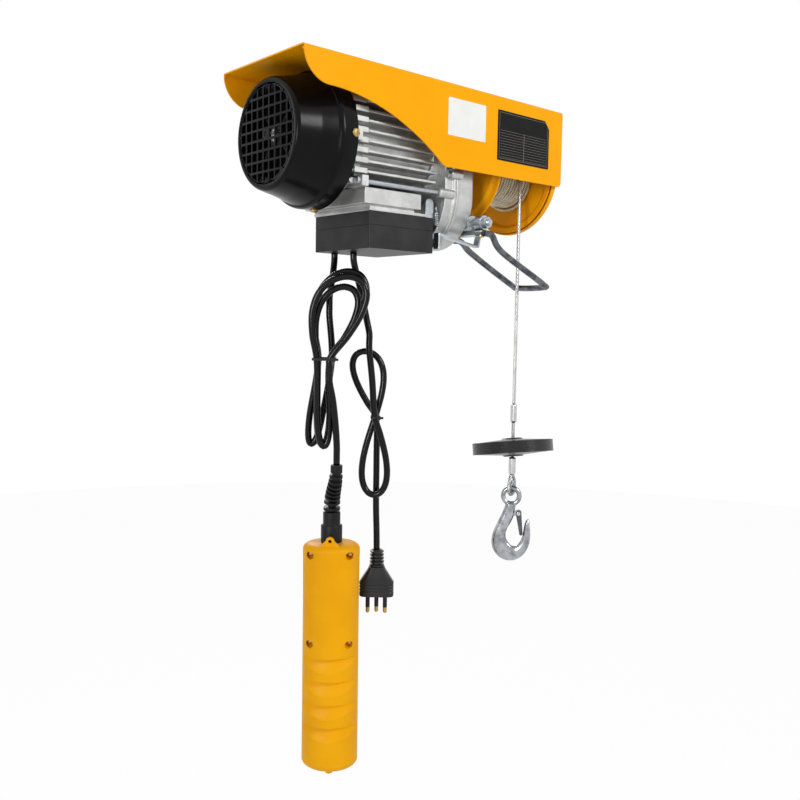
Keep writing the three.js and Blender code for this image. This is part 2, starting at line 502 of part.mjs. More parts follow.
// Gearbox: cover on the motor side, housing on the drum side
function makeGearbox() {
  const { coverStart, chamberStart, bulgeStart, flangeStart, joint, flangeEnd, end, endWall, lowerCentre } = gearbox;
  const inner = gearbox.radius - gearbox.wall;
  const half = seat / 2;
  const cover = joined([
    rodX(gearbox.neckRadius, coverStart, flangeStart, 0, 0, facets.large),
    extrudedX(obround(gearbox.radius, lowerCentre), bulgeStart, flangeStart, 6),
    extrudedX(obround(gearbox.flangeRadius, lowerCentre), flangeStart, joint - half, 6),
    rodX(gearbox.rodBossRadius, gearbox.rodBossStart, flangeStart, -tieRod.y, motor.firstFin, facets.small),
  ], [
    rodX(gearbox.neckRadius - gearbox.wall, chamberStart, flangeStart, 0, 0, facets.large),
    extrudedX(obround(inner, lowerCentre), bulgeStart + gearbox.bulgeWall, joint, 6),
    rodX(bearing.radius + seat, coverStart - overrun, coverStart + bearing.width + seat),
    rodX(gearbox.shaftHole, coverStart, chamberStart + overrun),
    rodX(layshaft.radius + seat, chamberStart - layshaft.bearingDepth, chamberStart + overrun, 0, -gears.centres),
  ]);
  add(line, 'gearbox_cover', cover, castAluminium);
  const bossZ = axisDepth - pivot.depth;
  const hubStart = end - endWall - gearbox.hubDepth;
  const shell = joined([
    extrudedX(obround(gearbox.flangeRadius, lowerCentre), joint + half, flangeEnd, 6),
    extrudedX(obround(gearbox.radius, lowerCentre), flangeEnd, end, 6),
    block(gearbox.lugStart, gearbox.lugEnd, -gearbox.lugHalfWidth, gearbox.lugHalfWidth, gearbox.lugRoot, underRoof),
    rodY(pivot.bossRadius, pivot.bossFront, pivot.bossBack, pivot.x, bossZ),
    block(pivot.webStart, pivot.x, pivot.bossFront, pivot.bossBack, bossZ - pivot.webHalfHeight, bossZ + pivot.webHalfHeight),
  ], [
    extrudedX(obround(inner, lowerCentre), joint, end - endWall, 6),
    rodY(pivot.boltRadius + seat, pivot.bossFront - overrun, pivot.bossFront + pivot.boltDepth + seat, pivot.x, bossZ),
  ]);
  const housing = joined([
    shell,
    rodX(gearbox.hubRadius, hubStart, end - endWall + overrun),
    rodX(layshaft.bossRadius, hubStart, end - endWall + overrun, 0, -gears.centres),
  ], [
    rodX(drum.shaftRadius + seat, hubStart - overrun, end + overrun, 0, 0, facets.large),
    rodX(layshaft.radius + seat, hubStart - overrun, hubStart + layshaft.bearingDepth, 0, -gears.centres),
  ]);
  add(line, 'gearbox_housing', housing, castAluminium);
}

// Gear train: both pairs share one distance, so the drum turns on the rotor's axis
function makeGears() {
  const mesh = QUARTER;
  const wheelTurn = mesh + Math.PI / gears.wheelTeeth;
  const firstEnd = gears.firstStart + gears.firstWidth;
  const secondEnd = gears.secondStart + gears.secondWidth;
  const layStart = gearbox.chamberStart - layshaft.bearingDepth + seat;
  const layEnd = gearbox.end - gearbox.endWall - gearbox.hubDepth + layshaft.bearingDepth - seat;
  const cluster = joined([
    rodX(layshaft.radius, layStart, gears.secondStart - seat),
    rodX(layshaft.radius, secondEnd + gears.extraPinion, layEnd),
    extrudedX(gearShape(gears.pinionTeeth, mesh), gears.secondStart - overrun, secondEnd + gears.extraPinion + overrun),
    extrudedX(gearShape(gears.wheelTeeth, wheelTurn), gears.firstStart, firstEnd),
  ]).translate(0, 0, -gears.centres);
  add(line, 'intermediate_gear', cluster, brightSteel);
  add(line, 'drum_shaft', joined([
    rodX(drum.shaftRadius, gears.secondStart - overrun, drum.start + drum.shaftInside),
    extrudedX(gearShape(gears.wheelTeeth, wheelTurn + Math.PI), gears.secondStart, secondEnd),
  ]), brightSteel);
}

// Rotor with its shaft, core, fan and brake disc
function makeRotor() {
  const pinionEnd = gears.firstStart + gears.firstWidth + running;
  const shaft = joined([
    turnedX([[rotor.shaftStart, 0], [rotor.shaftStart, rotor.fanSeatRadius], [rotor.fanSeatEnd, rotor.fanSeatRadius],
      [rotor.fanSeatEnd, rotor.shaftRadius], [gears.firstStart - overrun, rotor.shaftRadius], [gears.firstStart - overrun, 0]],
    facets.medium),
    extrudedX(gearShape(gears.pinionTeeth, -QUARTER), gears.firstStart - overrun - overrun, pinionEnd),
  ]);
  add(line, 'rotor_shaft', shaft, brightSteel);
  const coreStart = stator.start;
  add(line, 'rotor_core', turnedX([[coreStart, rotor.shaftRadius + seat], [coreStart, rotor.coreRadius],
    [stator.end, rotor.coreRadius], [stator.end, rotor.shaftRadius + seat], [coreStart, rotor.shaftRadius + seat]], facets.medium),
  darkSteel);
  const blades = [];
  for (let i = 0; i < fan.blades; i += 1) {
    const blade = block(fan.start, fan.diskEnd, fan.bladeInner, fan.radius, -fan.bladeThickness / 2, fan.bladeThickness / 2);
    blades.push(blade.rotateX(TURN * i / fan.blades));
  }
  add(line, 'fan', joined([rodX(fan.radius, fan.diskStart, fan.diskEnd), rodX(fan.hubRadius, fan.start, fan.diskEnd), ...blades],
    [rodX(rotor.fanSeatRadius + seat, fan.start - overrun, fan.diskEnd + overrun)]), blackPlastic);
  add(line, 'brake_disc', turnedX([[brake.discStart, rotor.fanSeatRadius + seat], [brake.discStart, brake.discRadius],
    [brake.discEnd, brake.discRadius], [brake.discEnd, rotor.fanSeatRadius + seat], [brake.discStart, rotor.fanSeatRadius + seat]],
  facets.medium), darkSteel);
}

// Stator: a slotted core, and a winding whose two heads are joined through the slots
function makeStator() {
  const slots = [];
  const bars = [];
  for (let i = 0; i < stator.slots; i += 1) {
    const angle = TURN * i / stator.slots;
    slots.push(block(stator.start - overrun, stator.end + overrun, stator.slotInner, stator.slotOuter,
      -stator.slotWidth / 2, stator.slotWidth / 2).rotateX(angle));
    bars.push(block(stator.start - overrun, stator.end + overrun, stator.slotInner + seat, stator.slotOuter - seat,
      seat - stator.slotWidth / 2, stator.slotWidth / 2 - seat).rotateX(angle));
  }
  const outer = motor.bore / 2 - seat;
  add(line, 'stator_core', joined([rodX(outer, stator.start, stator.end, 0, 0, facets.large)],
    [rodX(stator.bore / 2, stator.start - overrun, stator.end + overrun, 0, 0, facets.large), ...slots]), darkSteel);
  const head = (x0, x1) => turnedX([[x0, stator.headInner], [x0, stator.headOuter], [x1, stator.headOuter], [x1, stator.headInner],
    [x0, stator.headInner]], facets.medium);
  add(line, 'stator_winding', joined([head(stator.start - seat - stator.headLength, stator.start - seat),
    head(stator.end + seat, stator.end + seat + stator.headLength), ...bars]), copper);
}

// Motor body: a finned barrel with the foot that carries the terminal box
function finReachAt(z, lowest) {
  return lowest ? motor.lowFinReach : motor.finReach - motor.finTaper * (z / motor.firstFin) ** 2;
}

function finSet(x0, x1, count) {
  const fins = [];
  for (let i = 0; i < count; i += 1) {
    const z = motor.firstFin + i * motor.finPitch;
    const reach = finReachAt(z, i === 0);
    fins.push(block(x0, x1, -reach, reach, z - motor.finThickness / 2, z + motor.finThickness / 2));
  }
  return fins;
}

function makeMotor() {
  const boxTop = axisDepth - box.top + seat;
  const plateTop = boxTop + foot.plateThickness;
  const plateRect = { x0: foot.plateStart, x1: foot.neckEnd, y0: -foot.plateHalfWidth, y1: foot.plateHalfWidth };
  const neckRect = { x0: foot.neckStart, x1: foot.neckEnd, y0: -foot.neckHalfWidth, y1: foot.neckHalfWidth };
  const body = joined([
    rodX(motor.barrel / 2, motor.start, motor.end - seat, 0, 0, facets.large),
    ...finSet(motor.start, motor.end - seat, motor.finCount),
    block(motor.lugStart, motor.lugEnd, -motor.lugHalfWidth, motor.lugHalfWidth, motor.lugRoot, underRoof),
    block(foot.start, foot.end, -foot.halfWidth, foot.halfWidth, -foot.bottom, -foot.top),
    tapered(plateRect, neckRect, plateTop, -foot.top),
    block(foot.plateStart, foot.plateEnd, -foot.plateHalfWidth, foot.plateHalfWidth, boxTop, plateTop),
  ], [rodX(motor.bore / 2, motor.start - overrun, motor.end + overrun, 0, 0, facets.large)]);
  add(line, 'motor_body', body, castAluminium);
}

// End bell with stub fins and the lugs that take the fan cover and the tie rod
function makeEndBell() {
  const end = motor.start - seat;
  const lug = block(bell.lugStart, bell.lugEnd, bell.lugRoot, bell.lugReach, -bell.lugHalfWidth, bell.lugHalfWidth);
  const lugs = [];
  for (let i = 0; i < 4; i += 1) lugs.push(lug.clone().rotateX(QUARTER * i));
  const rodLug = block(bell.rodLugStart, bell.rodLugEnd, -tieRod.y - bell.lugHalfWidth, -bell.cavity,
    motor.firstFin - bell.lugHalfWidth, motor.firstFin + bell.lugHalfWidth);
  const rodLugArm = block(bell.rodLugStart, bell.rodLugEnd, -bell.cavity - bell.lugHalfWidth, -bell.cavity + bell.lugHalfWidth,
    motor.firstFin - bell.lugHalfWidth, 0);
  const screwRadius = coverScrew.shankRadius + seat;
  const screwTop = fanCover.radius + overrun;
  const screwEnd = fanCover.radius - coverScrew.depth - seat;
  const shape = joined([
    rodX(bell.radius, bell.start, end, 0, 0, facets.large),
    ...finSet(bell.stubStart, end, motor.finCount),
    ...lugs, rodLug, rodLugArm,
  ], [
    rodX(bell.cavity, bell.face, end + overrun, 0, 0, facets.large),
    rodX(rotor.shaftRadius + seat, bell.stubStart - overrun, bell.face + overrun),
    rodX(tieRod.radius + seat, bell.rodLugStart - overrun, bell.rodLugEnd + overrun, -tieRod.y, motor.firstFin),
    rodY(screwRadius, -screwTop, -screwEnd, coverScrew.x, 0, facets.small),
    rodZ(screwRadius, -screwTop, -screwEnd, coverScrew.x, 0, facets.small),
  ]);
  add(line, 'end_bell', shape, castAluminium);
  const rodEnd = gearbox.rodBossStart - seat;
  const rodHead = bell.rodLugStart - seat;
  add(line, 'tie_rod', turnedX([[rodHead - tieRod.headLength, 0], [rodHead - tieRod.headLength, tieRod.headRadius],
    [rodHead, tieRod.headRadius], [rodHead, tieRod.radius], [rodEnd, tieRod.radius], [rodEnd, 0]], facets.small)
    .translate(0, -tieRod.y, motor.firstFin), brightSteel);
}

function makeBearing() {
  const start = gearbox.coverStart;
  add(line, 'rotor_bearing', turnedX([[start, bearing.bore], [start, bearing.radius], [start + bearing.width, bearing.radius],
    [start + bearing.width, bearing.bore], [start, bearing.bore]], facets.medium), brightSteel);
}

// Brake magnet: a ring on the end bell's outer face
function makeBrake() {
  const end = bell.stubStart - seat;
  add(line, 'brake_magnet', turnedX([[brake.magnetStart, brake.magnetInner], [brake.magnetStart, brake.magnetRadius],
    [end, brake.magnetRadius], [end, brake.magnetInner], [brake.magnetStart, brake.magnetInner]], facets.medium), darkSteel);
}

// Fan cover: a flared cap with a square grille in its round front
function coverProfile(inset) {
  const { start, frontRadius, edge, waistX, waistRadius, grooveX, flareRadius, grooveRadius, shoulderX, radius } = fanCover;
  return [[start + inset, 0], [start + inset, frontRadius - edge], [start + edge, frontRadius - inset], [waistX, waistRadius - inset],
    [grooveX, flareRadius - inset], [grooveX, grooveRadius - inset], [shoulderX, radius - inset], [fanCover.end, radius - inset]];
}

function makeFanCover() {
  const { wall, start, grilleRadius, grilleHoles, grillePitch, grilleBar } = fanCover;
  const shell = turnedX([...coverProfile(0), ...coverProfile(wall).reverse()]);
  const hole = grillePitch - grilleBar;
  let grid = null;
  for (let row = 0; row < grilleHoles; row += 1) {
    for (let column = 0; column < grilleHoles; column += 1) {
      const y = (row - (grilleHoles - 1) / 2) * grillePitch;
      const z = (column - (grilleHoles - 1) / 2) * grillePitch;
      if (Math.hypot(y, z) < grilleRadius) {
        const cell = toSolid(block(start - overrun, start + wall + overrun, y - hole / 2, y + hole / 2, z - hole / 2, z + hole / 2));
        grid = grid ? grid.add(cell) : cell;
      }
    }
  }
  const circle = toSolid(rodX(grilleRadius, start - wall - overrun, start + wall + wall, 0, 0, facets.large));
  const screwRadius = coverScrew.shankRadius + seat;
  const reach = fanCover.radius;
  const solid = toSolid(shell).subtract(grid.intersect(circle))
    .subtract(toSolid(rodY(screwRadius, -reach - overrun, -reach + wall + overrun, coverScrew.x, 0, facets.small)))
    .subtract(toSolid(rodZ(screwRadius, -reach - overrun, -reach + wall + overrun, coverScrew.x, 0, facets.small)));
  add(line, 'fan_cover', toGeometry(solid), blackPlastic);
  const headFoot = reach + seat;
  const screw = turned([[reach - coverScrew.depth, 0], [reach - coverScrew.depth, coverScrew.shankRadius],
    [headFoot, coverScrew.shankRadius], [headFoot, coverScrew.headRadius], [headFoot + coverScrew.headHeight, coverScrew.headRadius],
    [headFoot + coverScrew.headHeight, 0]], facets.small);
  add(line, 'cover_screw', screw.rotateX(Math.PI).translate(coverScrew.x, 0, 0), brass);
}

// Terminal box in two halves, with the capacitor, the limit switch and the cord glands
function makeTerminalBox() {
  const { start, end, halfWidth, top, seam, bottom, wall, corner } = box;
  const outline = (inset) => roundedBox(start + inset, end - inset, inset - halfWidth, halfWidth - inset, corner);
  const half = seat / 2;
  add(hoist, 'terminal_box', joined([extrudedZ(outline(0), half - seam, -top, 3)],
    [extrudedZ(outline(wall), -seam - overrun, -top - wall, 3)]), blackPlastic);
  const holes = [pendant, mains].map((place) => rodZ(gland.neckRadius + seat, -bottom - overrun, wall + overrun - bottom,
    place.x, place.y, facets.small));
  add(hoist, 'terminal_box_lid', joined([extrudedZ(outline(0), -bottom, -seam - half, 3)],
    [extrudedZ(outline(wall), wall - bottom, overrun - seam, 3), ...holes,
      rodX(plunger.holeRadius, end - wall - overrun, end + overrun, plunger.y, -plunger.depth, facets.small)]), blackPlastic);
  const floor = wall + seat - bottom;
  add(hoist, 'capacitor', rodX(capacitor.radius, capacitor.start, capacitor.end, capacitor.y, floor + capacitor.radius), greyPlastic);
  const switchEnd = end - wall - plunger.inside - seat;
  const switchFront = seat + wall - halfWidth;
  add(hoist, 'limit_switch', block(switchEnd - limitSwitch.length, switchEnd, switchFront, switchFront + limitSwitch.width,
    floor, floor + limitSwitch.height), greyPlastic);
  const names = { pendant_gland: pendant, mains_gland: mains };
  for (const [name, place] of Object.entries(names)) {
    add(hoist, name, turnedZ([[-bottom - gland.stand, 0], [-bottom - gland.stand, gland.neckRadius], [floor, gland.neckRadius],
      [floor, gland.flangeRadius], [floor + gland.flange, gland.flangeRadius], [floor + gland.flange, 0]], facets.small)
      .translate(place.x, place.y, 0), rubber);
  }
  const bootStart = end + seat;
  add(hoist, 'switch_plunger', turnedX([[end - wall - plunger.inside, 0], [end - wall - plunger.inside, plunger.radius],
    [bootStart, plunger.radius], [bootStart, plunger.bootRadius], [bootStart + plunger.bootLength, plunger.bootRadius],
    [plunger.end, plunger.radius], [plunger.end, 0]], facets.small).translate(0, plunger.y, -plunger.depth), rubber);
}

// Zinc bracket that stands on the box and holds the spring's upper end
function makeBracket() {
  const foot0 = -box.top + seat;
  const upright = new THREE.Shape();
  const { start, end, sheet, top, cornerRadius } = bracket;
  upright.moveTo(start, foot0);
  upright.lineTo(end, foot0);
  upright.absarc(end - cornerRadius, -top - cornerRadius, cornerRadius, 0, QUARTER);
  upright.absarc(start + cornerRadius, -top - cornerRadius, cornerRadius, QUARTER, Math.PI);
  add(hoist, 'switch_bracket', joined([extrudedY(upright, bracket.y, bracket.y + sheet, 4),
    block(start, end, bracket.y, bracket.y + bracket.footDepth, foot0, foot0 + sheet)]), zinc);
}

// Limit arm
const arm = group(hoist, pivot.x, 0, -pivot.depth);

function makeLever() {
  const sleeveBack = pivot.bossFront - seat;
  const lever = joined([
    rodY(pivot.sleeveRadius, pivot.sleeveFront, sleeveBack),
    rodY(pivot.hubRadius, pivot.hubFront, pivot.sleeveFront),
    block(-saddle.webHalf, saddle.webHalf, saddle.webFront, saddle.webBack, -saddle.top - overrun, 0),
    block(saddle.start, saddle.end, saddle.front, saddle.back, -saddle.top - saddle.thickness, -saddle.top),
  ], [rodY(pivot.sleeveBore, pivot.hubFront - overrun, sleeveBack + overrun)]);
  add(arm, 'limit_lever', lever, zinc);
  const washerBack = pivot.hubFront - seat;
  const headBack = washerBack - pivot.washer;
  const hex = pivot.headFlats / Math.sqrt(3);
  add(arm, 'pivot_bolt', joined([
    rodY(pivot.boltRadius, washerBack - overrun, pivot.bossFront + pivot.boltDepth),
    rodY(pivot.washerRadius, headBack, washerBack),
    rodY(hex, headBack - pivot.head, headBack, 0, 0, 6),
  ]), brightSteel);
}

function makeBail() {
  const points = bailRoute.map(([x, y, down]) => new THREE.Vector3(x, y, -down));
  const curve = new THREE.CatmullRomCurve3(points, false, 'catmullrom', bail.bendRadiusShare);
  const section = new THREE.Shape().absarc(0, 0, bail.radius, 0, TURN);
  add(arm, 'bail', new THREE.ExtrudeGeometry(section, { steps: 30, curveSegments: 4, extrudePath: curve }), zinc);
}

function makeStrip() {
  const { start, bend, end, drop, endDrop, sheet, tabDrop, tailSheet } = strip;
  const underSaddle = saddle.top + saddle.thickness + seat;
  const shape = new THREE.Shape();
  shape.moveTo(start, -drop);
  shape.lineTo(bend, -endDrop);
  shape.lineTo(end - sheet, -underSaddle);
  shape.lineTo(end, -underSaddle);
  shape.lineTo(bend + sheet, -endDrop - sheet);
  shape.lineTo(start + tailSheet, -drop - sheet - overrun);
  shape.lineTo(start + tailSheet, -tabDrop);
  shape.lineTo(start, -tabDrop);
  add(arm, 'striker_strip', extrudedY(shape, strip.front, strip.back), zinc);
}

// Return spring: curls along a slanted line, with straight ends
function makeSpring() {
  const top = new THREE.Vector3(spring.topX, spring.y, -spring.topDrop);
  const bottom = new THREE.Vector3(spring.bottomX, spring.y, -strip.drop + seat + overrun);
  const axis = bottom.clone().sub(top);
  const length = axis.length();
  axis.normalize();
  const across = new THREE.Vector3(0, 1, 0);
  const side = axis.clone().cross(across);
  const coil = spring.curls * spring.pitch;
  const lead = (length - coil) / 2;
  const points = [top, top.clone().addScaledVector(axis, lead - spring.wire - spring.wire)];
  for (let step = 0; step <= spring.curls * spring.steps; step += 1) {
    const angle = TURN * step / spring.steps;
    const point = top.clone().addScaledVector(axis, lead + coil * step / (spring.curls * spring.steps));
    point.addScaledVector(across, spring.radius * Math.sin(angle));
    points.push(point.addScaledVector(side, spring.radius * Math.cos(angle)));
  }
  points.push(bottom.clone().addScaledVector(axis, spring.wire + spring.wire - lead), bottom);
  addForm(arm, 'return_spring', points, spring.wire, spring.sides, brass);
}

// Rope end: ferrules, stop disc, rope loop on its thimble
const fallGroup = group(hoist, rope.fallX, -fallRadius, 0);

function teardrop(halfWidth, neck, top, bottom) {
  const round = bottom + halfWidth;
  const shape = new THREE.Shape();
  shape.moveTo(neck, top);
  shape.lineTo(neck, top - thimble.straight);
  shape.quadraticCurveTo(halfWidth, (top + round) / 2, halfWidth, round);
  shape.absarc(0, round, halfWidth, 0, -Math.PI, true);
  shape.quadraticCurveTo(-halfWidth, (top + round) / 2, -neck, top - thimble.straight);
  shape.lineTo(-neck, top);
  return shape;
}

function makeRopeEnd() {
  add(fallGroup, 'upper_ferrule', rodZ(upperFerrule.radius, -upperFerrule.bottom, -upperFerrule.top), brightSteel);
  add(fallGroup, 'rope_link', rodZ(ropeRadius, seat - lowerFerrule.top, -seat - upperFerrule.bottom, 0, 0, facets.small), brightSteel);
  add(fallGroup, 'lower_ferrule', rodZ(lowerFerrule.radius, -lowerFerrule.bottom, -lowerFerrule.top), brightSteel);
  const halfRim = stopDisc.rim / 2;
  const halfHub = stopDisc.hub / 2;
  const [bore, mouth] = [stopDisc.bore / 2, stopDisc.boreMouth / 2];
  const disc = turnedZ([[-halfHub, mouth], [-halfHub, stopDisc.hubRadius], [-halfRim, stopDisc.coneRadius], [-halfRim, stopDisc.radius],
    [halfRim, stopDisc.radius], [halfRim, stopDisc.coneRadius], [halfHub, stopDisc.hubRadius], [halfHub, mouth], [0, bore],
    [-halfHub, mouth]], 28);
  disc.rotateX(-radians(stopDisc.tiltAcross)).rotateY(-radians(stopDisc.tiltSide)).rotateZ(radians(viewer.yaw));
  add(fallGroup, 'stop_disc', disc.translate(0, 0, -stopDisc.depth), rubber);
  const loopGroup = group(fallGroup, 0, 0, -lowerFerrule.bottom - seat, radians(thimble.yaw));
  const outline = teardrop(thimble.halfWidth, thimble.neck, 0, -thimble.length).getPoints(5);
  const path = outline.map((point) => new THREE.Vector3(point.x, 0, point.y));
  add(loopGroup, 'rope_loop', ringTube(path, ropeRadius, 6), brightSteel);
  const outerHalf = thimble.halfWidth - ropeRadius - seat;
  const linerBottom = ropeRadius + seat - thimble.length;
  const innerHalf = outerHalf - thimble.liner;
  const linerTop = -rope.diameter - rope.diameter;
  const half = thimble.linerWidth / 2;
  const innerTop = linerTop - thimble.liner - thimble.liner;
  add(loopGroup, 'thimble', joined(
    [extrudedY(teardrop(outerHalf, thimble.liner + thimble.liner, linerTop, linerBottom), -half, half, 8)],
    [extrudedY(teardrop(innerHalf, thimble.liner, innerTop, linerBottom + thimble.liner), -half - overrun, half + overrun, 8)]), zinc);
}

// Hook with its eye and a sprung latch
const hookGroup = group(fallGroup, 0, 0, -lowerFerrule.bottom - eye.drop, radians(hook.yaw));

function hookShape() {
  const place = ([across, down]) => new THREE.Vector2(across * hook.width, -down * hook.drop);
  const shape = new THREE.Shape();
  const outer = hookOuterShares.map(place);
  const inner = hookInnerShares.map(place);
  shape.moveTo(outer[0].x, outer[0].y);
  shape.splineThru(outer.slice(1));
  shape.lineTo(inner[0].x, inner[0].y);
  shape.splineThru(inner.slice(1));
  return shape;
}

function latchShape() {
  const lean = radians(latch.lean);
  const shape = new THREE.Shape();
  const endX = latch.length * Math.sin(lean);
  const endZ = -latch.length * Math.cos(lean);
  shape.absarc(0, 0, latch.radius, -lean, Math.PI - lean);
  shape.absarc(endX, endZ, latch.endRadius, Math.PI - lean, TURN - lean);
  return shape;
}

function makeHook() {
  const body = extrudedY(hookShape(), -hook.thickness / 2, hook.thickness / 2, 2);
  const ring = new THREE.TorusGeometry(eye.radius, eye.section, 8, facets.medium).rotateX(QUARTER);
  const lugHalf = hook.lugThickness / 2;
  add(hookGroup, 'hook', joined([body, ring,
    rodY(hook.lugRadius, -lugHalf, lugHalf, hook.lugX, -hook.lugDrop),
    block(0, hook.lugX, -lugHalf, lugHalf, -hook.lugDrop - hook.lugRadius, -hook.lugDrop + hook.lugRadius),
    rodY(latch.pinRadius, -latch.pinHalfLength, latch.pinHalfLength, hook.lugX, -hook.lugDrop, facets.small),
  ]), brightSteel);
  const latchGroup = group(hookGroup, hook.lugX, 0, -hook.lugDrop);
  const half = latch.slotHalf;
  add(latchGroup, 'hook_latch', joined([extrudedY(latchShape(), -latch.halfThickness, latch.halfThickness, 6)],
    [rodY(latch.slotRadius, -half, half), block(-latch.slotRadius, 0, -half, half, -latch.slotRadius, latch.slotRadius),
      rodY(latch.pinRadius + seat, -latch.halfThickness - overrun, latch.halfThickness + overrun, 0, 0, facets.small)]), brightSteel);
}

// Cords, each in front of a plane that faces the viewer
const pendantGroup = group(hoist, pendant.x, pendant.y, 0, radians(viewer.yaw));
const mainsGroup = group(hoist, mains.x, mains.y, 0, radians(viewer.yaw));
const hang = ([across, towards, down]) => new THREE.Vector3(across, -towards, -down);

function addCord(parent, name, route) {
  const curve = new THREE.CatmullRomCurve3(route.map(hang));
  const section = new THREE.Shape().absarc(0, 0, cord.radius, 0, TURN);
  const steps = Math.max(Math.round(curve.getLength() / cord.step), 3);
  const tube = new THREE.ExtrudeGeometry(section, { steps, curveSegments: cord.sides / 2, extrudePath: curve });
  add(parent, name, tube, rubber);
  return curve.getLength();
}

function chainLength(points) {
  return points.slice(1).reduce((sum, point, i) => sum + point.distanceTo(points[i]), 0);
}

// Pendant hank: three loops, drawn in at the waist; each loop lies one layer nearer to the viewer
function pendantHankPoints() {
  const { waist, waistHalf, waistAcross, firstLayer, layer, loops, roundShare } = pendantHank;
  const entry = hang(pendantUpperRoute.at(-1));
  const start = new THREE.Vector3(entry.x, entry.y, -pendantHank.top);
  const points = [start, start.clone().setZ(start.z - cord.radius * 2)];
  const steps = 20;
  for (let step = 0; step <= steps * loops; step += 1) {
    const angle = QUARTER + TURN * step / steps;
    const high = Math.cos(angle);
    const share = Math.abs(high);
    const loop = Math.min(Math.floor(step / steps), loops - 1);
    const towards = firstLayer + layer * step / steps;
    const up = high > 0;
    const widen = up ? pendantHank.widens[loop] * share : pendantHank.lowWiden * share;
    const fall = share ** roundShare;
    const centre = waistAcross + (up ? share * pendantHank.leans[loop] : fall * pendantHank.spreads[loop]);
    const height = up ? pendantHank.rises[loop] * high : -pendantHank.drop * fall;
    points.push(hang([centre + (waistHalf + widen) * Math.sin(angle), towards, waist - height]));
  }
  const out = hang(pendantLowerRoute[0]);
  const end = new THREE.Vector3(out.x, out.y, out.z + seat);
  const last = points.at(-1);
  points.push(new THREE.Vector3(end.x, end.y, Math.max(end.z + cord.radius * 2, (last.z + end.z) / 2)), end);
  return points;
}

// Mains hank: one figure of eight round its waist, each pass one layer further back
function mainsHankPoints() {
  const { waist, rise, drop, across, lean, firstLayer, layers } = mainsHank;
  const entry = hang(mainsUpperRoute.at(-1));
  const start = new THREE.Vector3(entry.x, entry.y, -mainsHank.top);
  const points = [start, start.clone().setZ(start.z - cord.radius * 2)];
  points.push(hang([(start.x + across) / 2, firstLayer, (mainsHank.top + waist) / 2]));
  const steps = 32;
  for (let step = 0; step <= steps; step += 1) {
    const angle = QUARTER + TURN * step / steps;
    const high = Math.cos(angle);
    const up = high > 0;
    const towards = firstLayer - layers * step / steps;
    const half = up ? mainsHank.upperHalf : mainsHank.lowerHalf;
    const centre = across + (up ? lean * high : 0);
    points.push(hang([centre - half * Math.sin(2 * angle), towards, waist - (up ? rise : drop) * high]));
  }
  const out = hang(mainsTailRoute[0]);
  points.push(new THREE.Vector3(out.x, out.y, out.z + seat + cord.radius * 2), new THREE.Vector3(out.x, out.y, out.z + seat));
  return points;
}

// A tie hugs the strands where they pass its two faces
function addTie(parent, name, points, waist) {
  const near = [];
  for (const z of [-waist - tie.height / 2, tie.height / 2 - waist]) {
    for (let i = 1; i < points.length; i += 1) {
      const [from, to] = [points[i - 1], points[i]];
      if ((from.z - z) * (to.z - z) < 0) near.push(from.clone().lerp(to, (z - from.z) / (to.z - from.z)));
    }
  }
  const reach = cord.radius + tie.clear;
  const xs = near.map((point) => point.x);
  const ys = near.map((point) => point.y);
  const outline = (extra) => roundedBox(Math.min(...xs) - reach - extra, Math.max(...xs) + reach + extra,
    Math.min(...ys) - reach - extra, Math.max(...ys) + reach + extra, cord.radius + extra);
  const shape = outline(tie.thickness);
  shape.holes.push(outline(0));
  add(parent, name, extrudedZ(shape, -waist - tie.height / 2, tie.height / 2 - waist, 2), blackPlastic);
}

// Ribbed strain relief of the handset: ribs on a bent neck, then a stepped collar
function makeRelief() {
  const { top, collarTop, step, foot: footDepth, topX, topTowards, ribs } = relief;
  const bend = new THREE.CubicBezierCurve3(hang([topX, topTowards, top]), hang([topX, topTowards, top + (collarTop - top) / 2]),
    hang([handset.across, handset.towards, collarTop - (collarTop - top) / 2]), hang([handset.across, handset.towards, collarTop]));
  const capShare = relief.capLength / (collarTop - top);
  const points = [bend.getPointAt(0), bend.getPointAt(capShare)];
  const radii = [relief.capRadius, relief.capRadius];
  for (let rib = 0; rib < ribs; rib += 1) {
    const from = capShare + (1 - capShare) * rib / ribs;
    const width = (1 - capShare) / ribs;
    for (const [share, radius] of [[0.12, relief.coreRadius], [0.42, relief.coreRadius], [0.5, relief.ribRadius], [0.9, relief.ribRadius]]) {
      points.push(bend.getPointAt(from + width * share));
      radii.push(radius);
    }
  }
  const collar = [[collarTop, relief.collarRadius], [step, relief.collarRadius], [step + seat, relief.footRadius],
    [footDepth, relief.footRadius]];
  for (const [down, radius] of collar) {
    points.push(hang([handset.across, handset.towards, down]));
    radii.push(radius);
  }
  add(pendantGroup, 'handset_strain_relief', ringTube(points, radii, relief.sides), rubber);
}

// Handset: two half shells with finger grips and screw recesses on the back, buttons on the front
function handsetBody(inset, bottomInset) {
  const { length, halfWidth, halfDepth, edge } = handset;
  const radius = halfWidth - inset;
  const profile = [[-inset, 0], [-inset, radius - edge], [-inset - edge / 3, radius - edge / 3], [-inset - edge, radius],
    [edge - length + bottomInset, radius], [edge / 3 - length + bottomInset, radius - edge / 3], [bottomInset - length, radius - edge],
    [bottomInset - length, 0]];
  return turnedZ(profile, 24).scale(1, (halfDepth - inset) / radius, 1);
}

const handsetGroup = group(pendantGroup, handset.across, -handset.towards, -handset.top);

